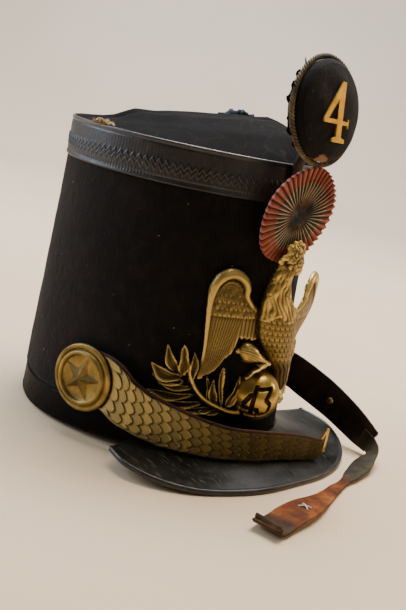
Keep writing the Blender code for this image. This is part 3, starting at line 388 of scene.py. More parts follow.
band_around = ring_of(ZIGZAGS * 8)
swing = np.abs((np.arange(ZIGZAGS * 8) / 8.0) % 1.0 - 0.5) * 2.0
nicks = np.sign(np.sin(np.arange(ZIGZAGS * 8) * math.pi / 2.0 + 0.4))
band_rows = []
for drop in np.linspace(BAND_HEIGHT, 0.0, 56):
    height = top_height(band_around) + BAND_ABOVE - drop
    relief = 0.0
    for middle, tall, deep in ((14.6, 3.5, 0.8), (18.0, 3.5, 0.6)):
        relief = relief + deep * np.exp(-((drop - middle - tall * (swing - 0.5)) / 0.55) ** 2)
    for line, deep in ((1.2, 0.4), (3.0, -0.35), (23.6, -0.35), (26.0, 0.4)):
        relief = relief + deep * math.exp(-((drop - line) / 0.55) ** 2)
    if 20.8 < drop < 25.0 or 4.0 < drop < 13.0:
        relief = relief + (0.10 if drop > 20.0 else 0.04) * nicks
    wall = on_felt(band_around, height, BAND_WALL + PIECE_GAP)
    relief = relief + 0.25 * ripple(wall, 18.0, 3.0)
    rounding = 0.5 if drop in (0.0, BAND_HEIGHT) else 0.0
    band_rows.append(on_felt(band_around, height, BAND_WALL + PIECE_GAP + relief - rounding))
for drop in (0.0, 9.0, 18.0, BAND_HEIGHT):
    band_rows.append(on_felt(band_around, top_height(band_around) + BAND_ABOVE - drop, PIECE_GAP))
top_band = sheet_mesh("top_band_leather", band_rows, around=True, along=True)
band_heights = np.array([v.co.z for v in top_band.data.vertices]) / MM
mark(top_band, "bare_edge", np.clip((band_heights - BODY_HEIGHT + 0.2) / 1.6, 0.0, 1.0))
# A slight bluish gloss makes the tooling stand out; the worn edge stays brown and dull.
band_leather = worn_leather("tooled blackened strap leather", "#0a0b0c", "#151719", "#2a2c30",
                            0.36, "bare_edge", shine=0.6, scuffed=0.4)
dress(top_band, band_leather, "top_band")

# On the wearer's right the band's turned edge has frayed into a tan tuft, dry and matt.
tuft_hide, place = new_finish("frayed tan leather")
tuft_fibre = add_node(tuft_hide, "TexNoise", Scale=420.0, Detail=5.0, Roughness=0.7, Vector=place)
tuft_tone = add_node(tuft_hide, "ValToRGB", Fac=tuft_fibre,
                     stops=((0.32, "#2e2418"), (0.50, "#8d7146"), (0.68, "#d5b987")))
tuft_bump = add_node(tuft_hide, "Bump", Strength=0.8, Distance=0.0008, Height=tuft_fibre)
shader = add_node(tuft_hide, "BsdfPrincipled", Base_Color=tuft_tone, Roughness=0.85,
                  Normal=tuft_bump)
add_node(tuft_hide, "OutputMaterial", Surface=shader)
tuft_share = np.linspace(0.0, 1.0, 60)
tuft_size = 0.15 + np.sin(math.pi * tuft_share) ** 0.5 * (0.9 + 0.35 * np.sin(tuft_share * 37.0))
tuft_rings = []
for angle, size in zip(np.radians(np.linspace(-100.0, -85.5, 60)), tuft_size):
    turns = ring_of(12)
    rough = size * (1.0 + 0.25 * np.sin(5.0 * turns + 60.0 * angle))
    tuft_rings.append(on_felt(angle, top_height(angle) + BAND_ABOVE
                              + rough * (1.0 + 1.5 * np.sin(turns)),
                              -1.6 + rough * 3.4 * np.cos(turns)))
dress(sheet_mesh("band_frayed_tuft", tuft_rings, around=True), tuft_hide, slot="top_band")


# Base band: blackened leather round the foot of the felt, butted at a seam on the wearer's
# right. It lies in the shade and hardly shines.
BASE_HEIGHT = 20.0
base_around = ring_of(240)
base_rows = []
for rise in np.linspace(0.0, BASE_HEIGHT, 18):
    height = rim_height(base_around) + rise
    wall = on_felt(base_around, height, BAND_WALL + PIECE_GAP)
    seam = -0.9 * np.exp(-((base_around - 2 * math.pi + math.radians(64)) / 0.012) ** 2)
    lines = sum(0.2 * math.exp(-((rise - line) / 0.6) ** 2) for line in (1.5, 18.5))
    rounding = 0.45 if rise in (0.0, BASE_HEIGHT) else 0.0
    relief = 0.2 * ripple(wall, 15.0, 4.0) + seam + lines - rounding
    base_rows.append(on_felt(base_around, height, BAND_WALL + PIECE_GAP + relief))
for rise in (BASE_HEIGHT, BASE_HEIGHT / 2, 0.0):
    base_rows.append(on_felt(base_around, rim_height(base_around) + rise, PIECE_GAP))
base_band = sheet_mesh("base_band_leather", base_rows, around=True, along=True)
# Polish over black dye: it stays nearly black, with a faint sheen on its upper edge.
base_leather = worn_leather("glossy blackened leather", "#030303", "#060606", "#0e0d0c", 0.42,
                            shine=0.06, scuffed=0.06)
dress(base_band, base_leather, "base_band")


# Peak: thick leather, once lacquered black, now dull olive and scratched, set to the front of
# the base band and dished down at its middle. Its edge is bound with a folded, stitched strip.
PEAK_HALF_WIDTH = 105.0
PEAK_REACH = 148.4
PEAK_EDGE_TABLE = np.array((
    # turn, side, forward, dish
    (-1.00, -0.98, 0.495, 1.00),
    (-0.90, -1.00, 0.600, 0.80),
    (-0.76, -0.92, 0.735, 0.42),
    (-0.60, -0.76, 0.855, 0.12),
    (-0.42, -0.55, 0.937, 0.00),
    (-0.22, -0.30, 0.996, 0.00),
    (0.00, 0.00, 1.014, 0.00),
    (0.22, 0.31, 1.013, 0.00),
    (0.42, 0.57, 0.968, 0.04),
    (0.60, 0.77, 0.888, 0.20),
    (0.76, 0.92, 0.775, 0.48),
    (0.90, 1.00, 0.630, 0.80),
    (1.00, 0.98, 0.495, 1.00),
))


def curve_row(table, place):
    """Row of a table at a place in its first column, on a smooth curve through its rows."""
    index = int(np.clip(np.searchsorted(table[:, 0], place) - 1, 0, len(table) - 2))
    steps = np.diff(table[:, 0])
    share = (place - table[index, 0]) / steps[index]

    def slope(k):
        if k == 0:
            return (table[1] - table[0]) / steps[0]
        if k == len(table) - 1:
            return (table[-1] - table[-2]) / steps[-1]
        before, after = steps[k - 1], steps[k]
        return ((table[k] - table[k - 1]) / before * after
                + (table[k + 1] - table[k]) / after * before) / (before + after)

    low, high = table[index], table[index + 1]
    row = low + (high - low) * share * share * (3 - 2 * share)
    row = row + steps[index] * slope(index) * share * (1 - share) ** 2
    return row - steps[index] * slope(index + 1) * share * share * (1 - share)


def peak_edge(turn):
    """Outer edge of the peak's underside; turn runs from -1 to 1 across it."""
    _, side, forward, dish = curve_row(PEAK_EDGE_TABLE, turn)
    return np.array((side * PEAK_HALF_WIDTH, HAT_CENTRE_Y - forward * PEAK_REACH,
                     max(dish, 0.0) * 10.0))


def peak_root(turn):
    """Line where the peak meets the base band."""
    angle = turn * math.radians(52)
    return on_felt(angle, rim_height(angle), BAND_WALL + 2 * PIECE_GAP)


PEAK_WALL = 1.8
peak_rows = []
for share in np.append(np.linspace(0.0, 1.0, 30), np.linspace(1.0, 0.0, 12)):
    upper = PEAK_WALL if len(peak_rows) < 30 else 0.0
    row = []
    for turn in np.linspace(-1.0, 1.0, 97):
        root, edge = peak_root(turn), peak_edge(turn)
        inset = (edge - root) / np.linalg.norm(edge - root) * 0.9
        row.append(root + (edge - inset - root) * share + (0.0, 0.0, 0.9 * share + upper))
    row = np.array(row)
    row[:, 2] += (0.35 * ripple(row, 11.0, 5.0) - 0.2) * math.sin(math.pi * share)
    peak_rows.append(row[::-1])
peak = sheet_mesh("peak_leather", peak_rows, along=True)
face_outwards(peak, fill=True)

# The lacquer has dulled to a cloudy olive gloss, cut by long pale scratches two ways.
peak_finish, place = new_finish("scratched lacquered leather")
cloudy = add_node(peak_finish, "TexNoise", Scale=26.0, Detail=6.0, Roughness=0.62, Vector=place)
peak_tone = add_node(peak_finish, "ValToRGB", Fac=cloudy,
                     stops=((0.30, "#0b0b08"), (0.52, "#161610"), (0.74, "#26251d")))
peak_scratches = []
for turn, stretch, scale, distortion, low in ((0.6, 0.025, 900.0, 0.3, 0.62),
                                              (-0.9, 0.03, 620.0, 0.0, 0.64)):
    scratch_way = add_node(peak_finish, "Mapping", Rotation=(0.0, 0.0, turn),
                           Scale=(1.0, stretch, 1.0), Vector=place)
    scratches = add_node(peak_finish, "TexNoise", Scale=scale, Detail=3.0, Distortion=distortion,
                         Vector=scratch_way)
    share = add_node(peak_finish, "ValToRGB", Fac=scratches, stops=((low, 0.0), (low + 0.06, 0.45)))
    peak_tone = add_node(peak_finish, "MixRGB", Fac=share, Color1=peak_tone, Color2=tone("#6b6856"))
    peak_scratches.append(scratches)
scratch_bump = add_node(peak_finish, "Bump", Strength=0.25, Distance=0.0002,
                        Height=peak_scratches[0])
dent_bump = add_node(peak_finish, "Bump", Strength=0.3, Distance=0.0012, Height=cloudy,
                     Normal=scratch_bump)
peak_gloss = add_node(peak_finish, "ValToRGB", Fac=cloudy, stops=((0.3, 0.24), (0.7, 0.46)))
shader = add_node(peak_finish, "BsdfPrincipled", Base_Color=peak_tone, Specular_IOR_Level=0.38,
                  Roughness=peak_gloss, Normal=dent_bump)
add_node(peak_finish, "OutputMaterial", Surface=shader)
dress(peak, peak_finish, "peak")

# The binding is a strip folded round the edge: two rolls, one over the other, with a seam.
BINDING_PROFILE = (
    # inset, rise
    (0.0, 1.5), (0.1, 2.6), (0.7, 3.3), (1.6, 3.45), (2.3, 3.2), (2.6, 2.95), (3.0, 3.15),
    (3.2, 2.95), (3.2, 2.85), (0.7, 2.75), (0.6, 0.65), (3.2, 0.6), (3.2, 0.0), (0.6, 0.0),
    (0.0, 0.6),
)
binding_rings = []
for turn in np.linspace(-1.0, 1.0, 161):
    edge, root = peak_edge(turn), peak_root(turn)
    inward = (root - edge) / np.linalg.norm(root - edge)
    binding_rings.append([edge + inward * inset + np.array((0, 0, rise))
                          for inset, rise in BINDING_PROFILE])
peak_binding = sheet_mesh("peak_edge_binding", binding_rings, around=True)
# Rubbed thin by handling, the folded leather shines more than the peak and shows grey.
binding_leather = worn_leather("folded edge binding", "#121212", "#201f1d", "#3a3732", 0.28)
dress(peak_binding, binding_leather, "peak_binding")


# Cockerel plate: one sheet of stamped brass, bent to the felt. A cockerel stands on a ball
# pierced with numerals, its wings raised, over two laurel branches. The hollows are darkened and
# the ridges lightened, partly as grime and rubbing and partly as painted shade and highlight.
PLATE_PITCH = 0.5
PLATE_SHEET = 0.9
plate_u, plate_v = np.meshgrid(np.arange(-90.0, 90.1, PLATE_PITCH),
                               np.arange(34.0, 163.0, PLATE_PITCH))
plate_edge = np.full(plate_u.shape, -99.0)
plate_relief = np.full(plate_u.shape, -1.0)


def inside_outline(outline):
    """Distance in mm inside an outline, negative outside it."""
    corners = np.array(outline, float)
    nearest = np.full(plate_u.shape, 1e9)
    within = np.zeros(plate_u.shape, bool)
    for (u0, v0), (u1, v1) in zip(corners, np.roll(corners, -1, 0)):
        du, dv = u1 - u0, v1 - v0
        share = np.clip(((plate_u - u0) * du + (plate_v - v0) * dv) / (du * du + dv * dv), 0, 1)
        aside_u, aside_v = plate_u - u0 - share * du, plate_v - v0 - share * dv
        nearest = np.minimum(nearest, np.hypot(aside_u, aside_v))
        if dv:
            crossing = u0 + (plate_v - v0) / dv * du
            within ^= ((v0 > plate_v) != (v1 > plate_v)) & (plate_u < crossing)
    return np.where(within, nearest, -nearest)


def beside_path(rows, samples=10):
    """Distance and signed side from a smooth path through rows of u, v and other columns,
    with those columns and the share of the way at the nearest place."""
    rows = np.array(rows, float)
    if len(rows) > 2:
        steps = np.concatenate(([0.0], np.cumsum(np.hypot(*np.diff(rows[:, :2], axis=0).T))))
        table = np.column_stack([steps, rows])
        rows = np.array([curve_row(table, place)
                         for place in np.linspace(0, steps[-1], samples * len(rows))])
    else:
        rows = np.column_stack([[0.0, np.hypot(*(rows[1, :2] - rows[0, :2]))], rows])
    nearest = np.full(plate_u.shape, 1e9)
    found = [np.zeros(plate_u.shape) for _ in range(rows.shape[1] - 1)]
    for start, end in zip(rows, rows[1:]):
        du, dv = end[1:3] - start[1:3]
        span = max(du * du + dv * dv, 1e-9)
        share = np.clip(((plate_u - start[1]) * du + (plate_v - start[2]) * dv) / span, 0, 1)
        aside_u, aside_v = plate_u - start[1] - share * du, plate_v - start[2] - share * dv
        away = np.hypot(aside_u, aside_v)
        closer = away < nearest
        nearest = np.where(closer, away, nearest)
        found[0] = np.where(closer, np.sign(du * aside_v - dv * aside_u) * away, found[0])
        for k in range(rows.shape[1] - 3):
            value = start[3 + k] + (end[3 + k] - start[3 + k]) * share
            found[1 + k] = np.where(closer, value, found[1 + k])
        way = (start[0] + (end[0] - start[0]) * share) / rows[-1, 0]
        found[-1] = np.where(closer, way, found[-1])
    return [nearest] + found


def add_form(inside, height):
    """Raises the plate to a form's height wherever the form is the higher."""
    global plate_edge, plate_relief
    shown = inside > -PLATE_PITCH
    plate_relief = np.where(shown, np.maximum(plate_relief, height), plate_relief)
    plate_edge = np.maximum(plate_edge, inside)


def dome(share):
    """Half circle of height 1 across -1 to 1."""
    return np.sqrt(np.clip(1.0 - share * share, 0.0, 1.0))


def tiles(across, down, wide, tall):
    """Round-ended feathers in staggered rows, each over the row below; 0 at a root, 1 at a tip."""
    height = np.zeros(across.shape)
    row = np.floor(down / tall)
    for k in (0, 1):
        level = row - k
        shifted = across / wide + 0.5 * (level % 2)
        beside = 2.0 * (shifted - np.floor(shifted) - 0.5)
        below = np.clip((down - (level + 1) * tall) / tall, 0.0, 2.0)
        covered = beside ** 2 * 0.92 + below ** 2 < 1.0
        raised = (down - level * tall) / (2.0 * tall) - 0.25 * np.exp(-(beside / 0.12) ** 2)
        height = np.where(covered, raised, height)
    return height


def soft(edge, width):
    """Rises smoothly from 0 to 1 over a width."""
    share = np.clip(edge / width, 0.0, 1.0)
    return share * share * (3.0 - 2.0 * share)


WING_OUTLINE = (
    (-41.3, 135.6), (-45.3, 134.2), (-48.4, 131.8), (-51.0, 129.4), (-52.6, 126.2),
    (-53.8, 122.0), (-54.2, 117.7), (-53.4, 106.1), (-52.1, 92.8), (-51.2, 84.0),
    (-50.9, 77.6), (-51.1, 66.4), (-51.7, 59.4), (-50.6, 58.4), (-48.0, 60.3), (-43.8, 62.2),
    (-40.2, 64.8), (-36.6, 69.4), (-34.4, 73.2), (-31.8, 75.8), (-29.5, 77.6), (-28.0, 80.5),
    (-26.9, 84.0), (-25.9, 88.6), (-24.4, 87.3), (-22.9, 87.1), (-21.9, 88.4), (-20.5, 86.6),
    (-18.8, 86.7), (-17.9, 88.2), (-16.5, 86.5), (-14.6, 86.7), (-8.0, 88.0), (-6.0, 108.0),
    (-14.7, 110.6), (-17.6, 111.7), (-19.6, 113.4), (-22.2, 115.3), (-23.6, 117.5),
    (-24.0, 120.6), (-23.8, 124.3), (-25.0, 127.4), (-27.1, 129.9), (-29.6, 132.5),
    (-32.9, 134.4), (-37.0, 135.6),
)
SHOULDER_ROLL = (
    # across, up, half_width, lift
    (-13.0, 107.6, 1.2, 3.2),
    (-17.8, 109.6, 1.7, 3.8),
    (-22.0, 112.9, 2.1, 4.4),
    (-25.9, 117.8, 2.4, 4.9),
    (-26.8, 123.8, 2.9, 5.4),
    (-30.0, 128.2, 3.3, 5.8),
    (-34.6, 131.0, 3.7, 6.0),
    (-41.0, 131.6, 3.9, 6.0),
    (-46.0, 129.0, 3.8, 6.0),
    (-49.4, 124.4, 3.3, 5.6),
    (-51.2, 117.0, 2.6, 5.0),
    (-51.4, 106.0, 1.9, 4.3),
    (-50.6, 92.8, 1.4, 3.8),
    (-49.9, 77.6, 1.1, 3.4),
    (-50.2, 66.4, 0.9, 3.0),
    (-51.0, 60.0, 0.7, 2.6),
)
LAUREL = (
    # base_across, base_up, tip_across, tip_up, half_width, bend, lift
    (-60.0, 56.0, -81.5, 58.0, 3.0, 2.0, 2.6),
    (-54.0, 52.5, -77.5, 53.0, 2.6, 1.4, 2.2),
    (-52.0, 48.0, -83.5, 46.5, 3.0, 2.6, 2.2),
    (-46.0, 42.5, -79.0, 40.5, 3.0, 2.2, 1.8),
    (-38.0, 39.0, -62.0, 37.4, 2.4, 1.4, 1.6),
    (-30.0, 37.8, -47.0, 36.6, 2.0, 0.8, 1.6),
    (-62.0, 59.0, -83.0, 65.5, 4.2, 3.6, 3.2),
    (-64.5, 60.5, -74.5, 79.5, 3.6, 1.8, 3.0),
    (-62.0, 60.0, -64.0, 81.5, 3.9, -0.6, 3.6),
    (-56.5, 56.0, -56.6, 77.5, 3.0, -1.6, 2.8),
    (-42.0, 44.0, -45.2, 61.5, 2.0, -0.8, 2.2),
    (-36.0, 41.0, -40.5, 61.0, 2.7, 1.6, 2.6),
    (-31.5, 41.5, -35.0, 70.0, 2.5, 1.6, 3.0),
    (-28.5, 41.0, -21.0, 63.5, 3.9, -2.0, 3.2),
    (-25.5, 40.5, -20.5, 54.0, 2.2, -1.2, 2.4),
)
BRANCH_STEM = (
    # across, up, half_width, lift
    (-61.5, 74.0, 0.9, 4.6),
    (-59.5, 70.0, 1.1, 5.0),
    (-56.8, 61.0, 1.3, 5.2),
    (-51.8, 52.2, 1.4, 5.2),
    (-45.0, 46.0, 1.5, 5.2),
    (-36.0, 41.6, 1.5, 5.4),
    (-23.5, 37.6, 1.6, 5.6),
    (-16.0, 37.0, 1.6, 5.6),
)


def wing_and_branch(side):
    """Relief of one wing and the laurel below it; side is 1 on the wearer's right. The other
    wing has been bent forward."""
    global plate_u
    kept = plate_u
    plate_u = plate_u * side
    bent = 9.0 * soft(plate_v - 70.0, 44.0) if side < 0 else 0.0
    inner = inside_outline(WING_OUTLINE)
    down = 103.5 - plate_v
    outer_line = -47.6 - 0.055 * np.maximum(down, -4.0)
    inner_line = -25.6 - 0.30 * np.maximum(down, -4.0)
    fan = (plate_u - outer_line) / (inner_line - outer_line) * 10.5
    quill = 2.0 * (fan - np.floor(fan) - 0.5)
    barbs = 0.10 * np.sin((plate_v + 1.6 * np.abs(quill)) * 2 * math.pi / 1.5)
    rods = 0.72 * dome(quill * 0.98) + 0.10 * np.sin(fan * 0.6) + barbs
    inner_feather = (plate_u + 26.2) / 3.15
    short = 2.0 * (inner_feather - np.floor(inner_feather) - 0.5)
    broad = 0.85 * dome(short * 0.96) - 0.2 * np.exp(-(short / 0.1) ** 2)
    feathers = np.where(plate_u > inner_line + 0.15, broad, rods)
    row_edge = 103.2 - 1.1 * np.abs(np.sin(math.pi * (fan + 0.5)))
    step = soft(plate_v - row_edge, 0.7)
    coverts = tiles(plate_u + 0.2 * plate_v, 126.0 - plate_v, 3.3, 4.6)
    hollow, _, half_width, lift, _ = beside_path(SHOULDER_ROLL)
    under = np.exp(-((plate_v - 124.0) / 7.0) ** 2) * np.exp(-((plate_u + 38.0) / 9.0) ** 2)
    arcs = 0.22 * np.sin(hollow * 2 * math.pi / 1.5)
    wander = ripple(np.stack([plate_u, plate_v, 0 * plate_u], -1), 2.2, 4.0)
    upper = 0.9 + 0.6 * coverts * (1 - under) + under * (arcs - 0.7) + 0.25 * wander
    level = 2.3 + (1.0 - step) * feathers + step * upper
    add_form(inner, bent + 1.15 + (level - 1.15) * soft(inner, 1.3))
    beads = 0.25 * np.cos(plate_v * 2 * math.pi / 1.5)
    beads = beads * np.exp(-((hollow - half_width - 0.9) / 0.6) ** 2)
    roll = 2.2 + (lift - 2.2) * dome(hollow / half_width)
    add_form(half_width - hollow, bent + roll)
    add_form(np.minimum(half_width + 1.6 - hollow, inner), bent + 3.0 + beads)
    for base_u, base_v, tip_u, tip_v, wide, bend, high in LAUREL:
        run = np.array((tip_u - base_u, tip_v - base_v))
        across = np.array((-run[1], run[0])) / np.hypot(*run)
        middle = np.array((base_u, base_v)) + 0.5 * run + across * bend
        rows = [(base_u, base_v), tuple(middle), (tip_u, tip_v)]
        away, aside, way = beside_path(rows, 6)
        half = np.maximum(wide * np.sin(math.pi * np.clip(way, 0, 1) ** 0.85) ** 0.8, 0.02)
        half = half * (0.86 + 0.14 * np.sin(9.0 * way + tip_v))
        share = np.clip(aside / half, -1, 1)
        blade = 1.3 * np.abs(share) - 0.3 * np.exp(-((np.abs(share) - 0.5) / 0.16) ** 2)
        turned = 0.35 * share + 0.5 * np.abs(share) ** 3
        height = high + blade + turned + 0.7 * np.sin(math.pi * way)
        height = height + 0.9 * share * np.sin(4.4 * way + 0.7 * tip_u) + 0.8 * soft(way - 0.8, 0.2)
        add_form(half - away, height)
    away, _, half_width, lift, _ = beside_path(BRANCH_STEM)
    add_form(half_width - away, lift - 1.6 + 1.6 * dome(away / half_width))
    plate_u = kept


wing_and_branch(1)
wing_and_branch(-1)

BIRD_OUTLINE = np.array((
    # up, left, right, back, front
    (38.5, 15.0, 33.0, 0.6, 5.6),
    (43.4, 19.0, 35.6, 0.6, 7.6),
    (52.1, 19.5, 36.2, 0.6, 8.6),
    (62.0, 15.0, 35.0, 0.6, 9.6),
    (70.7, 7.0, 31.8, 0.6, 11.0),
    (79.4, -1.8, 30.4, 0.6, 12.0),
    (86.8, -9.4, 28.4, 0.6, 13.8),
    (96.8, -12.9, 26.5, 0.6, 15.0),
    (105.4, -14.3, 21.8, 0.6, 15.3),
    (112.9, -14.0, 15.7, 0.8, 15.0),
    (121.6, -13.2, 8.6, 1.8, 14.4),
    (130.2, -11.6, 5.0, 4.2, 14.0),
    (136.4, -10.8, 5.4, 7.4, 14.4),
    (141.4, -10.0, 8.4, 9.0, 15.0),
    (145.1, -9.4, 9.8, 9.8, 15.4),
    (148.8, -8.6, 10.0, 10.2, 15.4),
    (152.6, -6.6, 9.4, 10.6, 14.8),
    (156.0, -3.6, 7.6, 10.8, 13.6),
    (157.6, -0.5, 5.0, 11.0, 12.8),
))
heights = np.linspace(38.5, 157.6, 240)
silhouette = np.array([curve_row(BIRD_OUTLINE, height) for height in heights])
left, right, back, front = (np.interp(plate_v, heights, silhouette[:, k]) for k in (1, 2, 3, 4))
half = np.maximum((right - left) / 2, 0.5)
across = (plate_u - (left + right) / 2) / half
flank = np.arcsin(np.clip(across, -1.0, 1.0)) / (math.pi / 2)
bird_edge = np.minimum(np.minimum(plate_u - left, right - plate_u),
                       np.minimum(plate_v - 38.3, 158.0 - plate_v))
neck = soft(plate_v - 104.0 + 2.4 * np.cos(across * 7.0), 1.2) * soft(139.0 - plate_v, 4.0)
wave = flank * (7.6 - 0.060 * (plate_v - 105.0)) + 0.36 * np.sin(plate_v / 3.6 + 2.6 * flank)
wave += 0.20 * np.sin(plate_v / 1.9 + 11.0 * flank)
strands = 0.95 * np.abs(np.sin(math.pi * wave)) ** 0.7 - 0.35
strands += 0.3 * np.sin(plate_v / 2.6 + 5.0 * np.floor(wave))
breast = tiles(flank * half * 1.7, 140.0 - plate_v, 4.4, 4.2)
leg = soft(74.0 - plate_v, 6.0)
leg_strands = 0.7 * np.abs(np.sin(math.pi * (flank * 4.0 + 0.12 * np.sin(plate_v / 2.2)))) - 0.2
head = soft(plate_v - 139.0, 3.0)
coat = (neck * (0.9 + strands) + (1 - neck) * (1 - leg) * 1.15 * breast * (1 - head)
        + leg * leg_strands)
coat = coat * soft(bird_edge, 1.6)
bird_height = back + 1.0 + (front - back - 1.6) * dome(across) + coat * dome(across)
add_form(bird_edge, bird_height)
HEAD_FORMS = (
    # across, up, half_across, half_up, lift, depth
    (-0.4, 149.6, 8.6, 7.4, 14.0, 2.6),
    (3.4, 144.6, 6.4, 6.6, 14.0, 2.4),
    (-7.0, 147.8, 5.2, 2.4, 14.0, 1.6),
    (-11.2, 145.2, 2.5, 2.7, 13.0, 1.4),
    (-5.4, 154.4, 3.3, 2.7, 13.6, 1.6),
    (-1.4, 156.6, 3.1, 2.7, 13.4, 1.6),
    (2.8, 157.0, 3.1, 2.7, 13.4, 1.6),
    (6.4, 155.2, 2.9, 2.7, 13.4, 1.5),
    (8.8, 151.8, 2.3, 2.7, 13.2, 1.4),
    (-1.8, 150.6, 1.5, 1.5, 16.4, 0.7),
    (6.2, 140.6, 3.8, 4.8, 13.6, 2.0),
    (-3.2, 142.4, 2.4, 3.8, 13.6, 1.8),
)
for u, v, half_u, half_v, lift, depth in HEAD_FORMS:
    spread = np.hypot((plate_u - u) / half_u, (plate_v - v) / half_v)
    add_form((1.0 - spread) * min(half_u, half_v), lift + depth * dome(np.minimum(spread, 1)))
for u, v, size in ((-1.8, 150.6, 1.7), (3.8, 145.0, 3.2)):
    ring = np.hypot(plate_u - u, plate_v - v)
    plate_relief -= 0.5 * np.exp(-((ring - size) / 0.45) ** 2)
furrows = ripple(np.stack([plate_u * 1.2, plate_v * 1.6, 0 * plate_u], -1), 1.1, 2.0)
plate_relief += 0.5 * furrows * soft(plate_v - 137.0, 4.0)

THIGH = (
    # across, up, half_width, lift
    (-25.2, 80.4, 2.2, 4.2),
    (-21.6, 80.5, 6.2, 8.0),
    (-16.8, 79.3, 6.4, 10.2),
    (-10.6, 76.5, 4.0, 10.8),
    (-2.7, 73.0, 2.0, 10.6),
)
away, aside, half_width, lift, way = beside_path(THIGH)
quills = 0.5 * np.abs(np.sin(aside * math.pi / 1.75)) * soft(half_width - away, 1.0)
add_form(half_width - away, 2.6 + (lift - 2.6) * dome(away / half_width * 0.97) + quills)
for toe in (((-2.0, 73.1, 1.5, 11.0), (-8.0, 72.6, 1.1, 13.2), (-14.0, 71.2, 0.8, 15.0),
             (-20.6, 68.6, 0.7, 16.2), (-24.0, 65.0, 0.5, 16.0)),
            ((28.0, 60.0, 2.2, 8.2), (27.0, 52.0, 2.3, 9.4), (22.0, 46.5, 2.2, 10.6),
             (15.5, 42.0, 2.0, 10.8), (7.0, 37.6, 1.6, 10.4))):
    away, aside, half_width, lift, way = beside_path(toe)
    knuckle = 0.3 * np.cos(way * 22.0)
    add_form(half_width - away, lift - 2.4 + 2.4 * dome(away / half_width) + knuckle)

# The sheet is cut where the relief ends, its edge drawn onto the outline, and given a back.
kept = plate_edge > -0.35 * PLATE_PITCH
for _ in range(6):
    lone = kept[:-1, :-1] & kept[1:, 1:] & ~kept[1:, :-1] & ~kept[:-1, 1:]
    other = ~kept[:-1, :-1] & ~kept[1:, 1:] & kept[1:, :-1] & kept[:-1, 1:]
    kept[1:, :-1] |= lone
    kept[:-1, :-1] |= other
cells = kept[:-1, :-1] & kept[1:, :-1] & kept[1:, 1:] & kept[:-1, 1:]
for _ in range(8):
    diagonal = cells[:-1, :-1] & cells[1:, 1:] & ~cells[1:, :-1] & ~cells[:-1, 1:]
    crossed = ~cells[:-1, :-1] & ~cells[1:, 1:] & cells[1:, :-1] & cells[:-1, 1:]
    cells[1:, 1:] &= ~diagonal
    cells[1:, :-1] &= ~crossed
slope_v, slope_u = np.gradient(plate_edge, PLATE_PITCH)
steep = np.maximum(slope_u ** 2 + slope_v ** 2, 0.2)
pull = np.where(np.abs(plate_edge) < 0.8 * PLATE_PITCH, -plate_edge / steep, 0.0)
pull = np.clip(pull, -0.6 * PLATE_PITCH, 0.6 * PLATE_PITCH)
drawn_u, drawn_v = plate_u + slope_u * pull, plate_v + slope_v * pull
plate_relief = np.maximum(plate_relief, PLATE_SHEET + 0.2)
smooth_relief = plate_relief.copy()
for _ in range(10):
    for axis in (0, 1):
        smooth_relief = (np.roll(smooth_relief, 1, axis) + smooth_relief
                         + np.roll(smooth_relief, -1, axis)) / 3
# Painted light: height above a blurred copy of the relief darkens hollows and lightens ridges,
# partly as grime and rubbing and partly as painted shade and highlight.
plate_wear_and_painted_light = np.clip(0.50 + 0.75 * (plate_relief - smooth_relief), 0.0, 1.0)
# Painted shade darkens the lower outer leaves a little more.
plate_wear_and_painted_light *= 1.0 - 0.15 * soft(84.0 - plate_v, 14.0) * soft(np.abs(plate_u) - 24.0, 6.0)
# On the plain coat the tone follows the strand and feather relief, the same mix of wear and painted
# light.
plain_coat = soft(bird_edge, 0.8) * (plate_relief < bird_height + 0.3) * soft(141.0 - plate_v, 3.0)
plate_wear_and_painted_light += (np.clip(0.14 + 0.50 * coat, 0.0, 1.0) - plate_wear_and_painted_light) * plain_coat * 0.8
drawn_u = drawn_u + across * coat * 0.8 * plain_coat
FRONT_CURVE = 95.5


def on_plate(u, v, lift):
    """Places over the felt at mm across and up from the middle of its front."""
    return on_felt(u / FRONT_CURVE, v, PIECE_GAP + lift)


face_up = on_plate(drawn_u, drawn_v, plate_relief)
face_under = on_plate(drawn_u, drawn_v, np.maximum(plate_relief - PLATE_SHEET, 0.1))
used = np.zeros(plate_u.shape, bool)
for shift_r, shift_c in ((0, 0), (1, 0), (0, 1), (1, 1)):
    used[shift_r:shift_r + cells.shape[0], shift_c:shift_c + cells.shape[1]] |= cells
number = np.full(plate_u.shape, -1)
number[used] = np.arange(used.sum())
below = used.sum()
corner_ids = corners_of(number)
faces = corner_ids[cells]
walls = []
for step_r, step_c, a, b in ((0, -1, 3, 0), (0, 1, 1, 2), (-1, 0, 0, 1), (1, 0, 2, 3)):
    rim = cells & ~np.pad(cells, 1)[1 + step_r:1 + step_r + cells.shape[0],
                                    1 + step_c:1 + step_c + cells.shape[1]]
    start, end = corner_ids[rim][:, a], corner_ids[rim][:, b]
    walls.append(np.stack([end, start, start + below, end + below], -1))
every = np.concatenate([faces, faces[:, ::-1] + below] + walls)
cockerel = mesh_piece("cockerel_plate_relief",
                      np.concatenate([face_up[used], face_under[used]]), every.tolist())
cockerel.data.shade_smooth()
mark(cockerel, "wear_and_painted_light", np.tile(plate_wear_and_painted_light[used], 2))


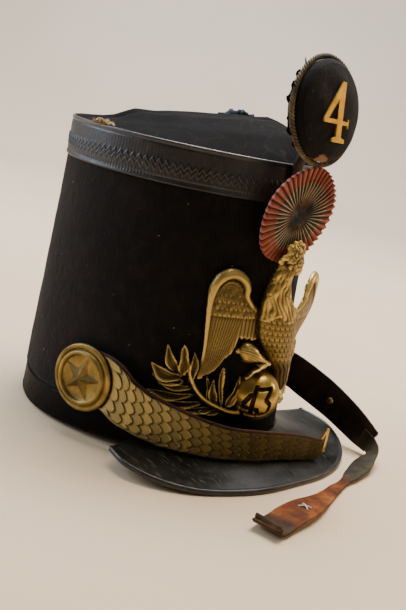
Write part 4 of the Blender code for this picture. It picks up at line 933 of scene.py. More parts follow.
def aged_brass(name, darkest, mid, bright, gloss, attribute=None, grain=0.0, metal=1.0):
    """Old brass with an uneven brown tarnish; an attribute, if given, sets its dark and light,
    which carry grime and wear and also painted shade and highlight.
    """
    finish, place = new_finish(name)
    tarnish = share = add_node(finish, "TexNoise", Scale=60.0, Detail=6.0, Roughness=0.6,
                               Vector=place)
    specks = add_node(finish, "TexNoise", Scale=700.0, Detail=4.0, Roughness=0.7, Vector=place)
    # The attribute carries grime and wear together with painted shade and highlight.
    if attribute:
        worn = (add_node(finish, "Attribute", attribute_name=attribute), "Fac")
        share = add_node(finish, "MixRGB", Fac=0.12, Color1=worn, Color2=tarnish)
    colour = add_node(finish, "ValToRGB", Fac=share,
                      stops=((0.22, darkest), (0.50, mid), (0.80, bright)))
    dull = add_node(finish, "ValToRGB", Fac=specks, stops=((0.35, 0.0), (0.75, 0.35)))
    colour = add_node(finish, "MixRGB", Fac=dull, Color1=colour, Color2=tone(mid))
    rough = add_node(finish, "ValToRGB", Fac=share, stops=((0.3, gloss + 0.14), (0.7, gloss)))
    grainy = add_node(finish, "Bump", Strength=0.12 + grain, Distance=0.0002, Height=specks)
    shader = add_node(finish, "BsdfPrincipled", Base_Color=colour, Metallic=metal, Roughness=rough,
                      Normal=grainy)
    add_node(finish, "OutputMaterial", Surface=shader)
    return finish


# Stamped brass gone brown: grime and painted shade in each hollow, and a painted soft yellow
# highlight on each ridge.
plate_brass = aged_brass("stamped brass with grime and painted light", "#110d06", "#73623a", "#d3b76c", 0.38, "wear_and_painted_light",
                         metal=0.9)
dress(cockerel, plate_brass, "cockerel_plate")

# The ball is a hollow cap riveted in behind the claws, rubbed brighter than the plate. Its
# numerals are pierced through it; here they are sunk grooves painted almost black, a painted
# shade standing for the dark openings.
BALL_RADIUS = 18.4
BALL_PLACE = (-3.4, 48.8, 1.6)
NUMERAL_STROKES = (
    # middle_turn, then ends of strokes in mm across and up
    (-52.0, (((1.6, 8.6), (1.0, -3.2)), ((1.0, -5.6), (0.9, -8.2)), ((-4.6, -4.6), (4.0, -4.2)),
             ((-3.9, -2.6), (-0.6, 3.4)), ((-1.2, -8.6), (3.2, -8.5)))),
    (-20.0, (((-3.6, 7.2), (3.8, 8.0)), ((3.4, 7.0), (0.4, 2.4)), ((0.6, 1.4), (3.0, -0.4)),
             ((3.4, -1.6), (3.2, -5.0)), ((2.4, -6.4), (-0.6, -7.9)),
             ((-1.6, -7.6), (-3.4, -5.6)))),
)
NUMERAL_SIZE = 1.30
ball_middle = on_plate(*BALL_PLACE[:2], 0.0)
ball_out = on_plate(BALL_PLACE[0], BALL_PLACE[1], 1.0) - ball_middle
ball_out = unit(ball_out)
ball_side = unit(np.cross((0.0, 0.0, 1.0), ball_out))
ball_up = np.cross(ball_out, ball_side)
NUMERAL_SIZE = 1.30
ball_middle = ball_middle + ball_out * BALL_PLACE[2]
tilts = np.radians(np.linspace(1.0, 98.0, 118))
tilt, spin = np.meshgrid(tilts, ring_of(216), indexing="ij")
ball_x = np.sin(tilt) * np.cos(spin)
ball_y = np.sin(tilt) * np.sin(spin)
ball_z = np.cos(tilt)
longitude = np.degrees(np.arctan2(ball_x, ball_z))
latitude = np.degrees(np.arcsin(np.clip(ball_y, -1, 1)))
pierced = np.full(tilt.shape, 9.0)
for middle_turn, strokes in NUMERAL_STROKES:
    x = np.radians(longitude - middle_turn) * BALL_RADIUS * np.cos(np.radians(latitude))
    y = np.radians(latitude) * BALL_RADIUS
    x, y = x / NUMERAL_SIZE, y / NUMERAL_SIZE
    for (x0, y0), (x1, y1) in strokes:
        dx, dy = x1 - x0, y1 - y0
        share = np.clip(((x - x0) * dx + (y - y0) * dy) / (dx * dx + dy * dy), 0, 1)
        pierced = np.minimum(pierced, np.hypot(x - x0 - share * dx, y - y0 - share * dy))
sunk = soft(1.3 - pierced, 0.4)
radius = (BALL_RADIUS - 2.2 * sunk)[..., None]
ball = sheet_mesh("cockerel_ball", ball_middle + radius * (
    ball_x[..., None] * ball_side + ball_y[..., None] * ball_up + ball_z[..., None] * ball_out),
                  around=True)
# Painted shade: the sunk numerals take the darkest tone, for the shade inside the openings.
mark(ball, "wear_and_painted_light", 0.66 - 0.66 * sunk)
ball_brass = aged_brass("rubbed brass ball", "#030202", "#8a7038", "#e6c468", 0.30, "wear_and_painted_light")
dress(ball, ball_brass, "cockerel_plate")


# Cockade: a strip of wool cloth folded into a wheel of knife pleats on a stiff disc, once
# striped in three colours: a faded red outer ring, a dark ring and a blue middle. The dark
# ring's pleat crests carry a painted cream highlight.
COCKADE_RADIUS = 34.2
PLEATS = 44


def tilted_frame(centre, lean):
    """Frame whose Z looks out over the peak, leaning back by an angle."""
    return Matrix.Translation(Vector(centre)) @ Matrix.Rotation(math.pi / 2 - lean, 4, "X")


def placed(points, frame_matrix):
    """Points in mm moved from a tilted frame to the hat."""
    matrix = np.array(frame_matrix)
    return points @ matrix[:3, :3].T + matrix[:3, 3]


def disc_ring(reach, turns, rise):
    """Places round the middle of a tilted frame."""
    return np.stack(np.broadcast_arrays(reach * np.cos(turns), reach * np.sin(turns), rise),
                    -1).astype(float)


cockade_middle = on_felt(0.0, 175.6, 11.3) + (0.0, 2.0, 0.0)
cockade_frame = tilted_frame(cockade_middle, math.radians(-12))
cockade_spin = ring_of(PLEATS * 10)
fold = (cockade_spin * PLEATS / (2 * math.pi)) % 1.0
crest = np.where(fold < 0.72, fold / 0.72, (1.0 - fold) / 0.28)
sway = 0.05 * np.sin(3 * cockade_spin + 1.0) + 0.03 * np.sin(7 * cockade_spin)
cockade_reaches = np.concatenate([np.linspace(0.05, 1.0, 34), [1.0], np.linspace(0.95, 0.05, 4)])
cockade_rows = []
for reach in cockade_reaches:
    front_side = len(cockade_rows) < 34
    out = COCKADE_RADIUS * reach * (1.0 + 0.012 * reach * (crest - 0.5)
                                    + 0.012 * reach * np.sin(5 * cockade_spin + 0.4))
    lift = 1.6 + 2.0 * crest * min(reach * 1.6, 1.0) if front_side else np.zeros_like(crest)
    lift = lift + 0.8 * math.sin(math.pi * reach) * np.sin(2 * cockade_spin + 0.8) * front_side
    if reach < 0.2 and front_side:
        lift = lift - 0.8 * (0.2 - reach) / 0.2
    ring = disc_ring(out, cockade_spin + sway * reach * 0.35, np.maximum(lift, 0.0))
    cockade_rows.append(placed(ring, cockade_frame))
cockade = sheet_mesh("pleated_cockade", cockade_rows, around=True)
mark(cockade, "reach", np.repeat(cockade_reaches, PLEATS * 10))
mark(cockade, "crest", np.tile(crest, len(cockade_reaches)))

# The wool is matt and dusty, and the dyes have faded in patches. A painted cream highlight lies
# on the pleat crests of the dark ring, and painted shade darkens the folds between all the
# pleats almost to black.
cockade_cloth, place = new_finish("faded tricolour wool cloth")
reach_here = (add_node(cockade_cloth, "Attribute", attribute_name="reach"), "Fac")
crest_here = (add_node(cockade_cloth, "Attribute", attribute_name="crest"), "Fac")
dyes = add_node(cockade_cloth, "ValToRGB", Fac=reach_here,
                stops=((0.0, "#2a3038"), (0.16, "#343c44"), (0.24, "#37382f"), (0.66, "#454236"),
                       (0.73, "#8d3d31"), (1.0, "#a2493a")))
fading = add_node(cockade_cloth, "TexNoise", Scale=90.0, Detail=6.0, Roughness=0.65, Vector=place)
faded = add_node(cockade_cloth, "ValToRGB", Fac=fading, stops=((0.45, 0.0), (0.66, 0.6)))
washed = add_node(cockade_cloth, "MixRGB", Fac=faded, Color1=dyes, Color2=tone("#b07a62"))
# Painted highlight: cream on the dark ring's pleat crests.
crest_highlight_ring = add_node(cockade_cloth, "ValToRGB", Fac=reach_here,
                     stops=((0.30, 0.0), (0.42, 0.9), (0.68, 0.9), (0.75, 0.2)))
crest_highlight = add_node(cockade_cloth, "ValToRGB", Fac=crest_here, stops=((0.72, 0.0), (0.92, 0.9)))
crest_highlight_share = add_node(cockade_cloth, "Math", operation="MULTIPLY", values=(crest_highlight_ring, crest_highlight))
crest_highlighted = add_node(cockade_cloth, "MixRGB", Fac=crest_highlight_share, Color1=washed, Color2=tone("#d8ccae"))
# Painted shade: the folds between pleats are darkened almost to black.
painted_fold_shade = add_node(cockade_cloth, "ValToRGB", Fac=crest_here, stops=((0.05, 0.04), (0.62, 1.0)))
shaded = add_node(cockade_cloth, "MixRGB", blend_type="MULTIPLY", Fac=1.0, Color1=crest_highlighted,
                  Color2=painted_fold_shade)
weave = add_node(cockade_cloth, "TexNoise", Scale=1500.0, Detail=3.0, Vector=place)
cloth_bump = add_node(cockade_cloth, "Bump", Strength=0.4, Distance=0.0003, Height=weave)
shader = add_node(cockade_cloth, "BsdfPrincipled", Base_Color=shaded, Roughness=0.9,
                  Specular_IOR_Level=0.2, Sheen_Weight=0.15, Normal=cloth_bump)
add_node(cockade_cloth, "OutputMaterial", Surface=shader)
dress(cockade, cockade_cloth, "cockade")

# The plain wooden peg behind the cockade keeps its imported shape; its dark grain is matt.
peg_wood, place = new_finish("dark wooden peg")
peg_grain = add_node(peg_wood, "TexNoise", Scale=200.0, Detail=4.0, Vector=place)
peg_tone = add_node(peg_wood, "ValToRGB", Fac=peg_grain, stops=((0.3, "#1c130c"), (0.7, "#3a2a1c")))
shader = add_node(peg_wood, "BsdfPrincipled", Base_Color=peg_tone, Roughness=0.75)
add_node(peg_wood, "OutputMaterial", Surface=shader)
for slot in nodes["cockade_post"].material_slots:
    slot.material = peg_wood


# Pompon: a flat lens of black cloth over a stuffed core, edged with twisted braid and backed
# with brown leather; a gilt figure is pinned to its face, and a flat stem holds it up.
POMPON_RADIUS = 32.5
POMPON_LEAN = math.radians(8)
BARED_SIDE = math.radians(262)
cockade_top = placed(np.array((0.0, COCKADE_RADIUS, 2.0)), cockade_frame)[2]
pompon_height = cockade_top + 2.2 + 34.6 * math.cos(POMPON_LEAN)
stem_front = on_felt(0.0, BODY_HEIGHT, 4.3)[1]
pompon_y = stem_front - 12.1 / math.cos(POMPON_LEAN) - 0.5 * POMPON_RADIUS * math.sin(POMPON_LEAN)
pompon_frame = tilted_frame((0.0, pompon_y, pompon_height), POMPON_LEAN)

POMPON_FACE = np.array((
    # reach, rise
    (0.02, 5.6), (0.30, 5.3), (0.50, 4.7), (0.68, 3.7), (0.82, 2.5), (0.92, 1.2), (0.98, -0.6),
    (1.00, -2.4), (0.99, -4.6), (0.95, -6.3), (0.88, -7.0), (0.40, -7.0), (0.05, -7.0),
))
pompon_spin = ring_of(160)
bared_here = np.exp(-((pompon_spin - BARED_SIDE) / 0.24) ** 2)
pompon_rows, pompon_marks = [], []
for step in np.linspace(0, len(POMPON_FACE) - 1, 76):
    reach, rise = (np.interp(step, range(len(POMPON_FACE)), POMPON_FACE[:, k]) for k in (0, 1))
    ring = disc_ring(POMPON_RADIUS * reach, pompon_spin, rise)
    dents = 0.8 * ripple(ring, 9.0, 2.0) + 0.25 * ripple(ring, 3.2, 6.0)
    ring[:, 2] += dents * (rise > -3.0) * min(1.0, (1.02 - reach) / 0.2)
    pompon_rows.append(placed(ring, pompon_frame))
    pompon_marks.append(bared_here * np.clip((reach - 0.80) / 0.12, 0.0, 1.0))
pompon = sheet_mesh("pompon_cloth", pompon_rows, around=True)
mark(pompon, "bared", pompon_marks)

# The cloth is matted to a dull black nap with pale flecks; low on the edge it has worn
# through to the brown below.
pompon_wool, place = new_finish("worn black pompon cloth")
matted = add_node(pompon_wool, "TexNoise", Scale=85.0, Detail=7.0, Roughness=0.7, Vector=place)
wool_tone = add_node(pompon_wool, "ValToRGB", Fac=matted,
                     stops=((0.30, "#050505"), (0.55, "#0b0b0b"), (0.78, "#1d1b19")))
flecks = add_node(pompon_wool, "TexVoronoi", Scale=260.0, Vector=place)
fleck_spots = add_node(pompon_wool, "ValToRGB", Fac=flecks, stops=((0.07, 0.7), (0.11, 0.0)))
fleck_gate = add_node(pompon_wool, "ValToRGB", Fac=matted, stops=((0.54, 0.0), (0.62, 0.8)))
fleck_share = add_node(pompon_wool, "Math", operation="MULTIPLY", values=(fleck_spots, fleck_gate))
flecked = add_node(pompon_wool, "MixRGB", Fac=fleck_share, Color1=wool_tone, Color2=tone("#8a8278"))
bared = (add_node(pompon_wool, "Attribute", attribute_name="bared"), "Fac")
bared_patch = add_node(pompon_wool, "Math", operation="MULTIPLY", values=(bared, matted))
bared_share = add_node(pompon_wool, "ValToRGB", Fac=bared_patch, stops=((0.22, 0.0), (0.34, 0.9)))
pompon_tone = add_node(pompon_wool, "MixRGB", Fac=bared_share, Color1=flecked,
                       Color2=tone("#8a6852"))
matted_bump = add_node(pompon_wool, "Bump", Strength=0.7, Distance=0.0014, Height=matted)
nap = add_node(pompon_wool, "TexNoise", Scale=900.0, Detail=4.0, Roughness=0.7, Vector=place)
nap_bump = add_node(pompon_wool, "Bump", Strength=0.6, Distance=0.0005, Height=nap,
                    Normal=matted_bump)
shader = add_node(pompon_wool, "BsdfPrincipled", Base_Color=pompon_tone, Roughness=0.9,
                  Specular_IOR_Level=0.2, Sheen_Weight=0.12, Sheen_Roughness=0.5,
                  Sheen_Tint=tone("#a8a4a0"), Normal=nap_bump)
add_node(pompon_wool, "OutputMaterial", Surface=shader)
dress(pompon, pompon_wool, "pompon_body")

BACKING = (
    # reach, rise
    (0.05, -7.3), (0.94, -7.3), (0.955, -8.2), (0.95, -10.6), (0.90, -12.0), (0.40, -12.1),
    (0.05, -12.1),
)
backing_rows = []
for reach, rise in BACKING:
    ring = disc_ring(POMPON_RADIUS * reach, pompon_spin, rise)
    ring[:, 2] += 0.3 * ripple(ring, 6.0, 1.0) * (rise < -8.0)
    backing_rows.append(placed(ring, pompon_frame))
backing = sheet_mesh("pompon_leather_back", backing_rows, around=True)
# Undyed brown leather, dry and dull, only seen from behind.
backing_leather = worn_leather("brown backing leather", "#2a1a12", "#4a2f20", "#7a573c", 0.5)
dress(backing, backing_leather, "pompon_backing")

# The cloth behind the braid has torn into short tongues on the wearer's right.
torn_spin = np.linspace(math.radians(128), math.radians(236), 90)
tongues = np.sin(torn_spin * 23.0)
torn_reach = (POMPON_RADIUS + 3.0 + 1.4 * np.sign(tongues) * np.abs(tongues) ** 0.4
              + 1.2 * np.sin(torn_spin * 9.0 + 0.7))
torn_rows = []
for share, rise in ((0.0, -7.1), (0.5, -7.0), (1.0, -6.6), (1.0, -6.9), (0.5, -7.3), (0.0, -7.4)):
    ring = disc_ring(29.0 + (torn_reach - 29.0) * share, torn_spin,
                     rise + 1.2 * share * np.sin(torn_spin * 14.0))
    torn_rows.append(placed(ring, pompon_frame))
torn_cloth = sheet_mesh("pompon_torn_cloth", np.array(torn_rows).transpose(1, 0, 2), around=True)
dress(torn_cloth, pompon_wool, "pompon_body")

# Three strands are laid round each other to make the braid.
STRANDS = 3
STRAND_RADIUS = 1.05
# Black and gold threads worn to a dull tan; each strand catches a short soft light.
braid_wool = worn_leather("twisted black and gold braid", "#15120d", "#54472e", "#b09a6a", 0.6)
strand_section = ring_of(8)
for strand in range(STRANDS):
    rings = []
    for turn in ring_of(540):
        lay = turn * 30 + strand * 2 * math.pi / STRANDS
        reach = POMPON_RADIUS + 1.6 + 0.9 * math.cos(lay) + STRAND_RADIUS * np.cos(strand_section)
        rise = -5.0 + 0.9 * math.sin(lay) + STRAND_RADIUS * np.sin(strand_section)
        rings.append(placed(disc_ring(reach, turn, rise), pompon_frame))
    piece = sheet_mesh("pompon_braid_%d" % strand, rings, around=True, along=True)
    dress(piece, braid_wool, "pompon_cord")


def outline_plate(name, outer, inner, low, high, bevel, frame_matrix):
    """A flat plate cut to an outline with one hole, its front edges bevelled."""
    curve = bpy.data.curves.new(name, "CURVE")
    curve.dimensions = "2D"
    curve.fill_mode = "BOTH"
    curve.extrude = (high - low) / 2 - bevel
    curve.bevel_depth = bevel
    curve.offset = -bevel
    for outline in (outer, inner):
        spline = curve.splines.new("POLY")
        spline.points.add(len(outline) - 1)
        for point, (x, y) in zip(spline.points, outline):
            point.co = (x, y, 0, 1)
        spline.use_cyclic_u = True
    scratch = bpy.data.objects.new(name, curve)
    bpy.context.scene.collection.objects.link(scratch)
    solid = bpy.data.meshes.new_from_object(
        scratch.evaluated_get(bpy.context.evaluated_depsgraph_get()))
    bpy.data.objects.remove(scratch)
    solid.transform(frame_matrix @ Matrix.Translation((0, 0, (low + high) / 2)))
    solid.transform(Matrix.Diagonal((MM, MM, MM, 1.0)))
    piece = bpy.data.objects.new(name, solid)
    bpy.context.scene.collection.objects.link(piece)
    face_outwards(piece, smooth=False)
    solid.shade_flat()
    return piece


WIDE = 5.6
STEM_ASIDE = 3.8
LEVEL = -7.6
FIGURE_OUTER = (
    (STEM_ASIDE - 6.8, -19.0), (STEM_ASIDE + 6.8, -19.0), (STEM_ASIDE + 6.8, -16.6),
    (STEM_ASIDE + WIDE / 2, -15.6), (STEM_ASIDE + WIDE / 2, LEVEL), (12.2, LEVEL),
    (12.2, LEVEL - 1.6), (13.4, LEVEL - 1.6), (13.4, LEVEL + 4.0), (12.2, LEVEL + 4.0),
    (12.2, LEVEL + 2.4), (STEM_ASIDE + WIDE / 2, LEVEL + 2.4), (STEM_ASIDE + WIDE / 2, 19.0),
    (STEM_ASIDE - 0.4, 19.0), (-13.4, LEVEL + 2.4), (-13.4, LEVEL),
    (STEM_ASIDE - WIDE / 2, LEVEL), (STEM_ASIDE - WIDE / 2, -15.6), (STEM_ASIDE - 6.8, -16.6),
)
FIGURE_INNER = (
    (STEM_ASIDE - WIDE / 2, LEVEL + 2.4), (STEM_ASIDE - WIDE / 2, 9.2), (-9.4, LEVEL + 2.4),
)
figure = outline_plate("gilt_figure", FIGURE_OUTER, FIGURE_INNER, 5.4, 6.8, 0.35,
                       pompon_frame @ Matrix.Translation((-1.8, -0.4, 0.0)))
# Gilding keeps brighter and yellower than the bare brass round it.
gilt = aged_brass("gilt brass figure", "#8f6f28", "#d0a33a", "#eec860", 0.45, metal=0.8)
dress(figure, gilt, "pompon_number")


def flat_bar(name, middles, rises, outs, half_widths, thick, rounding=0.35, samples=6):
    """A strap or strip along a path: rounded edges, its back on the path."""
    section = []
    for corner, start in (((-1, 0), math.pi), ((1, 0), 1.5 * math.pi),
                          ((1, 1), 0.0), ((-1, 1), 0.5 * math.pi)):
        for k in range(samples // 2):
            angle = start + (math.pi / 2) * k / (samples // 2 - 1)
            section.append((corner[0], corner[1], math.cos(angle), math.sin(angle)))
    rings = []
    for middle, rise, out, half in zip(middles, rises, outs, half_widths):
        ring = []
        for side, top, bend_x, bend_y in section:
            x = side * (half - rounding) + bend_x * rounding
            y = rounding + top * (thick - 2 * rounding) + bend_y * rounding
            ring.append(middle + rise * x + out * y)
        rings.append(ring)
    return sheet_mesh(name, rings, around=True)


STEM_THICK = 2.2
stem_back = -(7.0 + PIECE_GAP + 4.8 + PIECE_GAP + STEM_THICK / 2)
stem_path = [on_felt(0.0, height, 2.9) for height in np.linspace(164.0, BODY_HEIGHT, 8)]
stem_path += [placed(np.array((0.0, share * POMPON_RADIUS, stem_back)), pompon_frame)
              for share in np.linspace(-0.55, 0.35, 8)]
stem_path = np.array(stem_path)
stem_runs = unit(np.gradient(stem_path, axis=0))
stem_outs = np.stack([np.zeros(len(stem_runs)), -stem_runs[:, 2], stem_runs[:, 1]], -1)
stem = flat_bar("pompon_stem_strip", stem_path - stem_outs * STEM_THICK / 2,
                [np.array((1.0, 0.0, 0.0))] * len(stem_path), stem_outs,
                [4.5] * len(stem_path), STEM_THICK)
# Dark leather over the stem, matt and a little greasy.
stem_leather = worn_leather("dark stem leather", "#1a1310", "#2f221b", "#57432f", 0.5)
dress(stem, stem_leather, "pompon_stem")


# Chin scales: a leather strap carries rows of brass fish scales, each row tucked under the one
# nearer the boss. Smooth bright rows take turns with punched dull ones.
STRAP_WALL = 1.5
BOSS_RADIUS = 23.0
BOSS_HEIGHT = 41.5
BOSS_ANGLE = math.radians(75.6)
HALF_OPENING = 46.5


def lengths_along(places):
    """Length of a path up to each of its places."""
    return np.append(0.0, np.cumsum(np.linalg.norm(np.diff(places, axis=0), axis=1)))


def smooth_path(rows, count):
    """A table of places and values, made dense along a smooth curve; length comes first."""
    chords = lengths_along(rows[:, :3])
    table = np.column_stack([chords, rows])
    return np.array([curve_row(table, place) for place in np.linspace(0.0, chords[-1], count)])


def strap_route(side, table):
    """Places, directions and half widths closely along a chin strap."""
    angle = side * BOSS_ANGLE
    centre = on_felt(angle, 18.5, BAND_WALL + PIECE_GAP + 0.5)
    centre[2] = BOSS_HEIGHT
    forward = unit(np.array((-side * FELT_HALF_WIDTH * math.cos(angle),
                             -FELT_HALF_DEPTH * abs(math.sin(angle)), 0.0)))
    rows = [(*(centre + forward * along * BOSS_RADIUS), half * BOSS_RADIUS)
            for along, half in ((-0.86, 0.40), (-0.60, 0.70), (0.0, 0.84), (1.0, 0.78))]
    for turn, stand, up, half in table:
        place = on_felt(math.radians(turn), up * BOSS_HEIGHT,
                        BAND_WALL + 2 * PIECE_GAP + stand * HALF_OPENING)
        rows.append((*place, half * BOSS_RADIUS))
    rows = np.array(rows)
    chords = lengths_along(rows[:, :3])
    dense = smooth_path(rows, 700)
    middles = dense[:, 1:4]
    runs = unit(np.gradient(middles, axis=0))
    rises = unit(np.array((0.0, 0.0, 1.0)) - runs * runs[:, 2:])
    outs = np.cross(runs, rises) * -side
    lengths = lengths_along(middles)
    boss_row = int(np.searchsorted(dense[:, 0], chords[2]))
    return {"side": side, "centre": centre, "forward": forward, "length": lengths[-1],
            "lengths": lengths, "columns": np.hstack([middles, runs, rises, outs, dense[:, 4:5]]),
            "boss_out": outs[boss_row], "row_lengths": np.interp(chords, dense[:, 0], lengths)}


def strap_at(route, length):
    """Middle, run, rise, outward direction and half width at lengths along a strap."""
    found = np.stack([np.interp(length, route["lengths"], column)
                      for column in route["columns"].T], -1)
    return found[..., :3], found[..., 3:6], found[..., 6:9], found[..., 9:12], found[..., 12]


RIGHT_TABLE = (
    # angle, stand, up, half_width
    (-57.5, 0.12, 0.87, 0.72),
    (-50.8, 0.155, 0.76, 0.66),
    (-41.0, 0.21, 0.66, 0.63),
    (-31.0, 0.29, 0.60, 0.54),
    (-21.0, 0.38, 0.55, 0.46),
    (-9.3, 0.44, 0.51, 0.43),
    (3.4, 0.54, 0.46, 0.40),
    (12.2, 0.67, 0.39, 0.36),
    (18.6, 0.84, 0.34, 0.29),
)
LEFT_TABLE = (
    (57.2, 0.24, 1.05, 0.60),
    (51.1, 0.58, 0.90, 0.58),
    (46.4, 0.92, 0.72, 0.56),
    (42.3, 1.21, 0.54, 0.53),
    (39.0, 1.45, 0.38, 0.48),
    (37.2, 1.60, 0.29, 0.41),
)
right_route = strap_route(-1, RIGHT_TABLE)
left_route = strap_route(1, LEFT_TABLE)


def strap_piece(name, route, node, finish):
    """The leather of a strap, its edges a little uneven."""
    stations = np.arange(0.0, route["length"], 1.5)
    middles, runs, rises, outs, halves = strap_at(route, np.append(stations, route["length"]))
    sway = 0.25 * ripple(middles, 14.0, 3.0)
    piece = flat_bar(name, middles + rises * 0.5, rises, outs, halves + 0.7 + sway, STRAP_WALL)
    dress(piece, finish, node)


def boss_clearance(route, share):
    """Length at which a line along the strap leaves the boss's round edge."""
    lengths = np.arange(BOSS_RADIUS, route["length"], 0.25)
    middles, _, rises, _, halves = strap_at(route, lengths)
    spots = middles + rises * (share * (halves - 0.6))[:, None]
    away = np.linalg.norm(spots - route["centre"], axis=1)
    return lengths[np.argmax(away >= BOSS_RADIUS + 0.8)]


def scale_rows(name, route, parity, node, finish, rows):
    """Every second row of scales as closed curved tiles with rounded lobes."""
    places, faces, shades = [], [], []
    shares = np.linspace(-1.0, 1.0, 65)
    edges = np.linspace(-1.0, 1.0, 17)
    starts = np.interp(shares, edges, [boss_clearance(route, share) for share in edges])
    pitch = (route["length"] - starts) / rows
    # Painted shade: on the near strap the scales grow darker towards its end.
    near_strap_painted_shade = 0.56 if route["side"] < 0 else 0.0
    for row in range(parity, rows, 2):
        shifted = (shares + 1.0) * 2.0 + (0.0 if row % 2 else 0.5)
        local = np.clip(2.0 * (shifted - np.floor(shifted - 1e-9) - 0.5), -1.0, 1.0)
        lobe, before = dome(local), dome(np.abs(local) - 1.0)
        near = max(row - 0.45, 0.0) * pitch
        far = (row + 1.16 - (1.0 - lobe) * 0.62) * pitch
        if row == rows - 1:
            far = (rows - (1.0 - lobe) * 0.2) * pitch
        cover = (row + 0.16 - (1.0 - before) * 0.62) * pitch if row else 0.0
        top, under, painted_light_tints = [], [], []
        for step in np.linspace(0.0, 1.0, 9):
            length = starts + near + (far - near) * step
            middles, _, rises, outs, halves = strap_at(route, length)
            spots = middles + rises * (shares * (halves - 0.4))[:, None]
            spots = spots + outs * (STRAP_WALL + 0.5)
            rise = 0.35 + 1.05 * step + 0.28 * (1 - local ** 2) * step - 0.12 * (step > 0.99)
            top.append(spots + outs * rise[:, None])
            under.append(spots + outs * np.maximum(rise - 0.55, 0.0)[:, None])
            # Painted shadow: each scale is darker where the row nearer the boss covers it, and
            # lighter along its free edge.
            painted_light_tint = 0.30 + 0.40 * np.clip((length - starts - cover) / 1.5, 0.0, 1.0)
            painted_light_tints.append((painted_light_tint + 0.18 * (step > 0.9)) * (1.0 - near_strap_painted_shade * soft(row / rows - 0.12, 0.5)))
        upper = len(places) * shares.size + np.arange(9 * shares.size).reshape(9, -1)
        lower = upper + upper.size
        brim = np.concatenate([upper[0, :-1], upper[:-1, -1], upper[-1, :0:-1], upper[:0:-1, 0]])
        after = np.roll(brim, -1)
        walls = np.stack([brim, after, after + upper.size, brim + upper.size], -1)
        faces += corners_of(upper).reshape(-1, 4).tolist()
        faces += corners_of(lower).reshape(-1, 4)[:, ::-1].tolist() + walls.tolist()
        places += top + under
        shades += painted_light_tints + painted_light_tints
    piece = mesh_piece(name, np.concatenate(places), faces)
    face_outwards(piece, merge=False)
    mark(piece, "wear_and_painted_light", shades)
    dress(piece, finish, node)


# Thin strap leather: the near strap shows reddish edges, and the far strap's copy of it is
# darkened almost to black as painted shade.
far_strap_painted_shade_leather = worn_leather("far strap leather darkened with painted shade", "#0c0907", "#1e1611", "#3d2a1d", 0.42,
                             shine=0.3)
edge_leather = worn_leather("reddish strap leather", "#1c0c08", "#3d1c12", "#5f3322", 0.45,
                            shine=0.3)
strap_piece("strap_right_leather", right_route, "strap_right", edge_leather)
strap_piece("strap_left_leather", left_route, "strap_left", far_strap_painted_shade_leather)
# The smooth rows are polished by handling; the punched ones are grainy and stay duller.
bright_scale = aged_brass("smooth brass scale", "#15110a", "#6f633e", "#b8a873", 0.38, "wear_and_painted_light",
                          0.15)
dull_scale = aged_brass("punched brass scale", "#14110a", "#665c3d", "#a99b6c", 0.42, "wear_and_painted_light",
                        0.4)
for route, node in ((right_route, "scales_right"), (left_route, "scales_left")):
    row_count = max(round((route["length"] - BOSS_RADIUS - 0.8) / 7.6), 2)
    scale_rows(node + "_smooth", route, 0, node, bright_scale, row_count)
    scale_rows(node + "_punched", route, 1, node, dull_scale, row_count)


# Bosses: turned and stamped brass rounds over the strap ends, with a raised five-point star.
BOSS_PROFILE = (
    # radius, lift
    (23.2, 0.0), (23.4, 0.8), (23.3, 1.8), (22.7, 2.5), (21.8, 2.8), (20.6, 2.9), (20.2, 2.5),
    (19.9, 1.9), (19.5, 1.9), (19.2, 2.6), (18.9, 3.6), (18.3, 4.5), (17.5, 5.0), (16.7, 5.1),
    (16.0, 4.7), (15.6, 3.9), (15.4, 3.0), (15.0, 2.7), (8.0, 2.9), (0.4, 3.0),
)
# The field of a boss is grained and dull; its rim and star are rubbed a little smoother.
boss_field = aged_brass("grained brass boss", "#3b2f17", "#8c7743", "#c4ab6a", 0.40, grain=0.3)
star_brass = aged_brass("worn brass star", "#4a3c22", "#7f6c40", "#b09860", 0.42)
for route, node in ((right_route, "boss_right"), (left_route, "boss_left")):
    out, run = route["boss_out"], route["forward"]
    rise = unit(np.cross(out, run))
    rise = rise * (1 if rise[2] > 0 else -1)
    origin = route["centre"] + out * (STRAP_WALL + 0.5)
    spin = ring_of(120)[:, None]
    rings = [origin + out * lift + radius * (np.cos(spin) * rise + np.sin(spin) * run)
             for radius, lift in BOSS_PROFILE]
    dress(sheet_mesh(node + "_round", rings, around=True), boss_field, node)
    points = math.radians(12) + ring_of(10)[:, None]
    reach = np.where(np.arange(10) % 2, 6.3, 15.6)[:, None]
    corners = origin + reach * (np.cos(points) * rise + np.sin(points) * run)
    star_places = np.concatenate([corners + out * 2.9, corners + out * 2.0,
                                  [origin + out * 7.2, origin + out * 2.0]])
    star_faces = []
    for k in range(10):
        after = (k + 1) % 10
        star_faces += [(k, after, 20), (10 + after, 10 + k, 21), (k, 10 + k, 10 + after, after)]
    star = mesh_piece(node + "_star", star_places, star_faces)
    face_outwards(star, smooth=False)
    dress(star, star_brass, node)


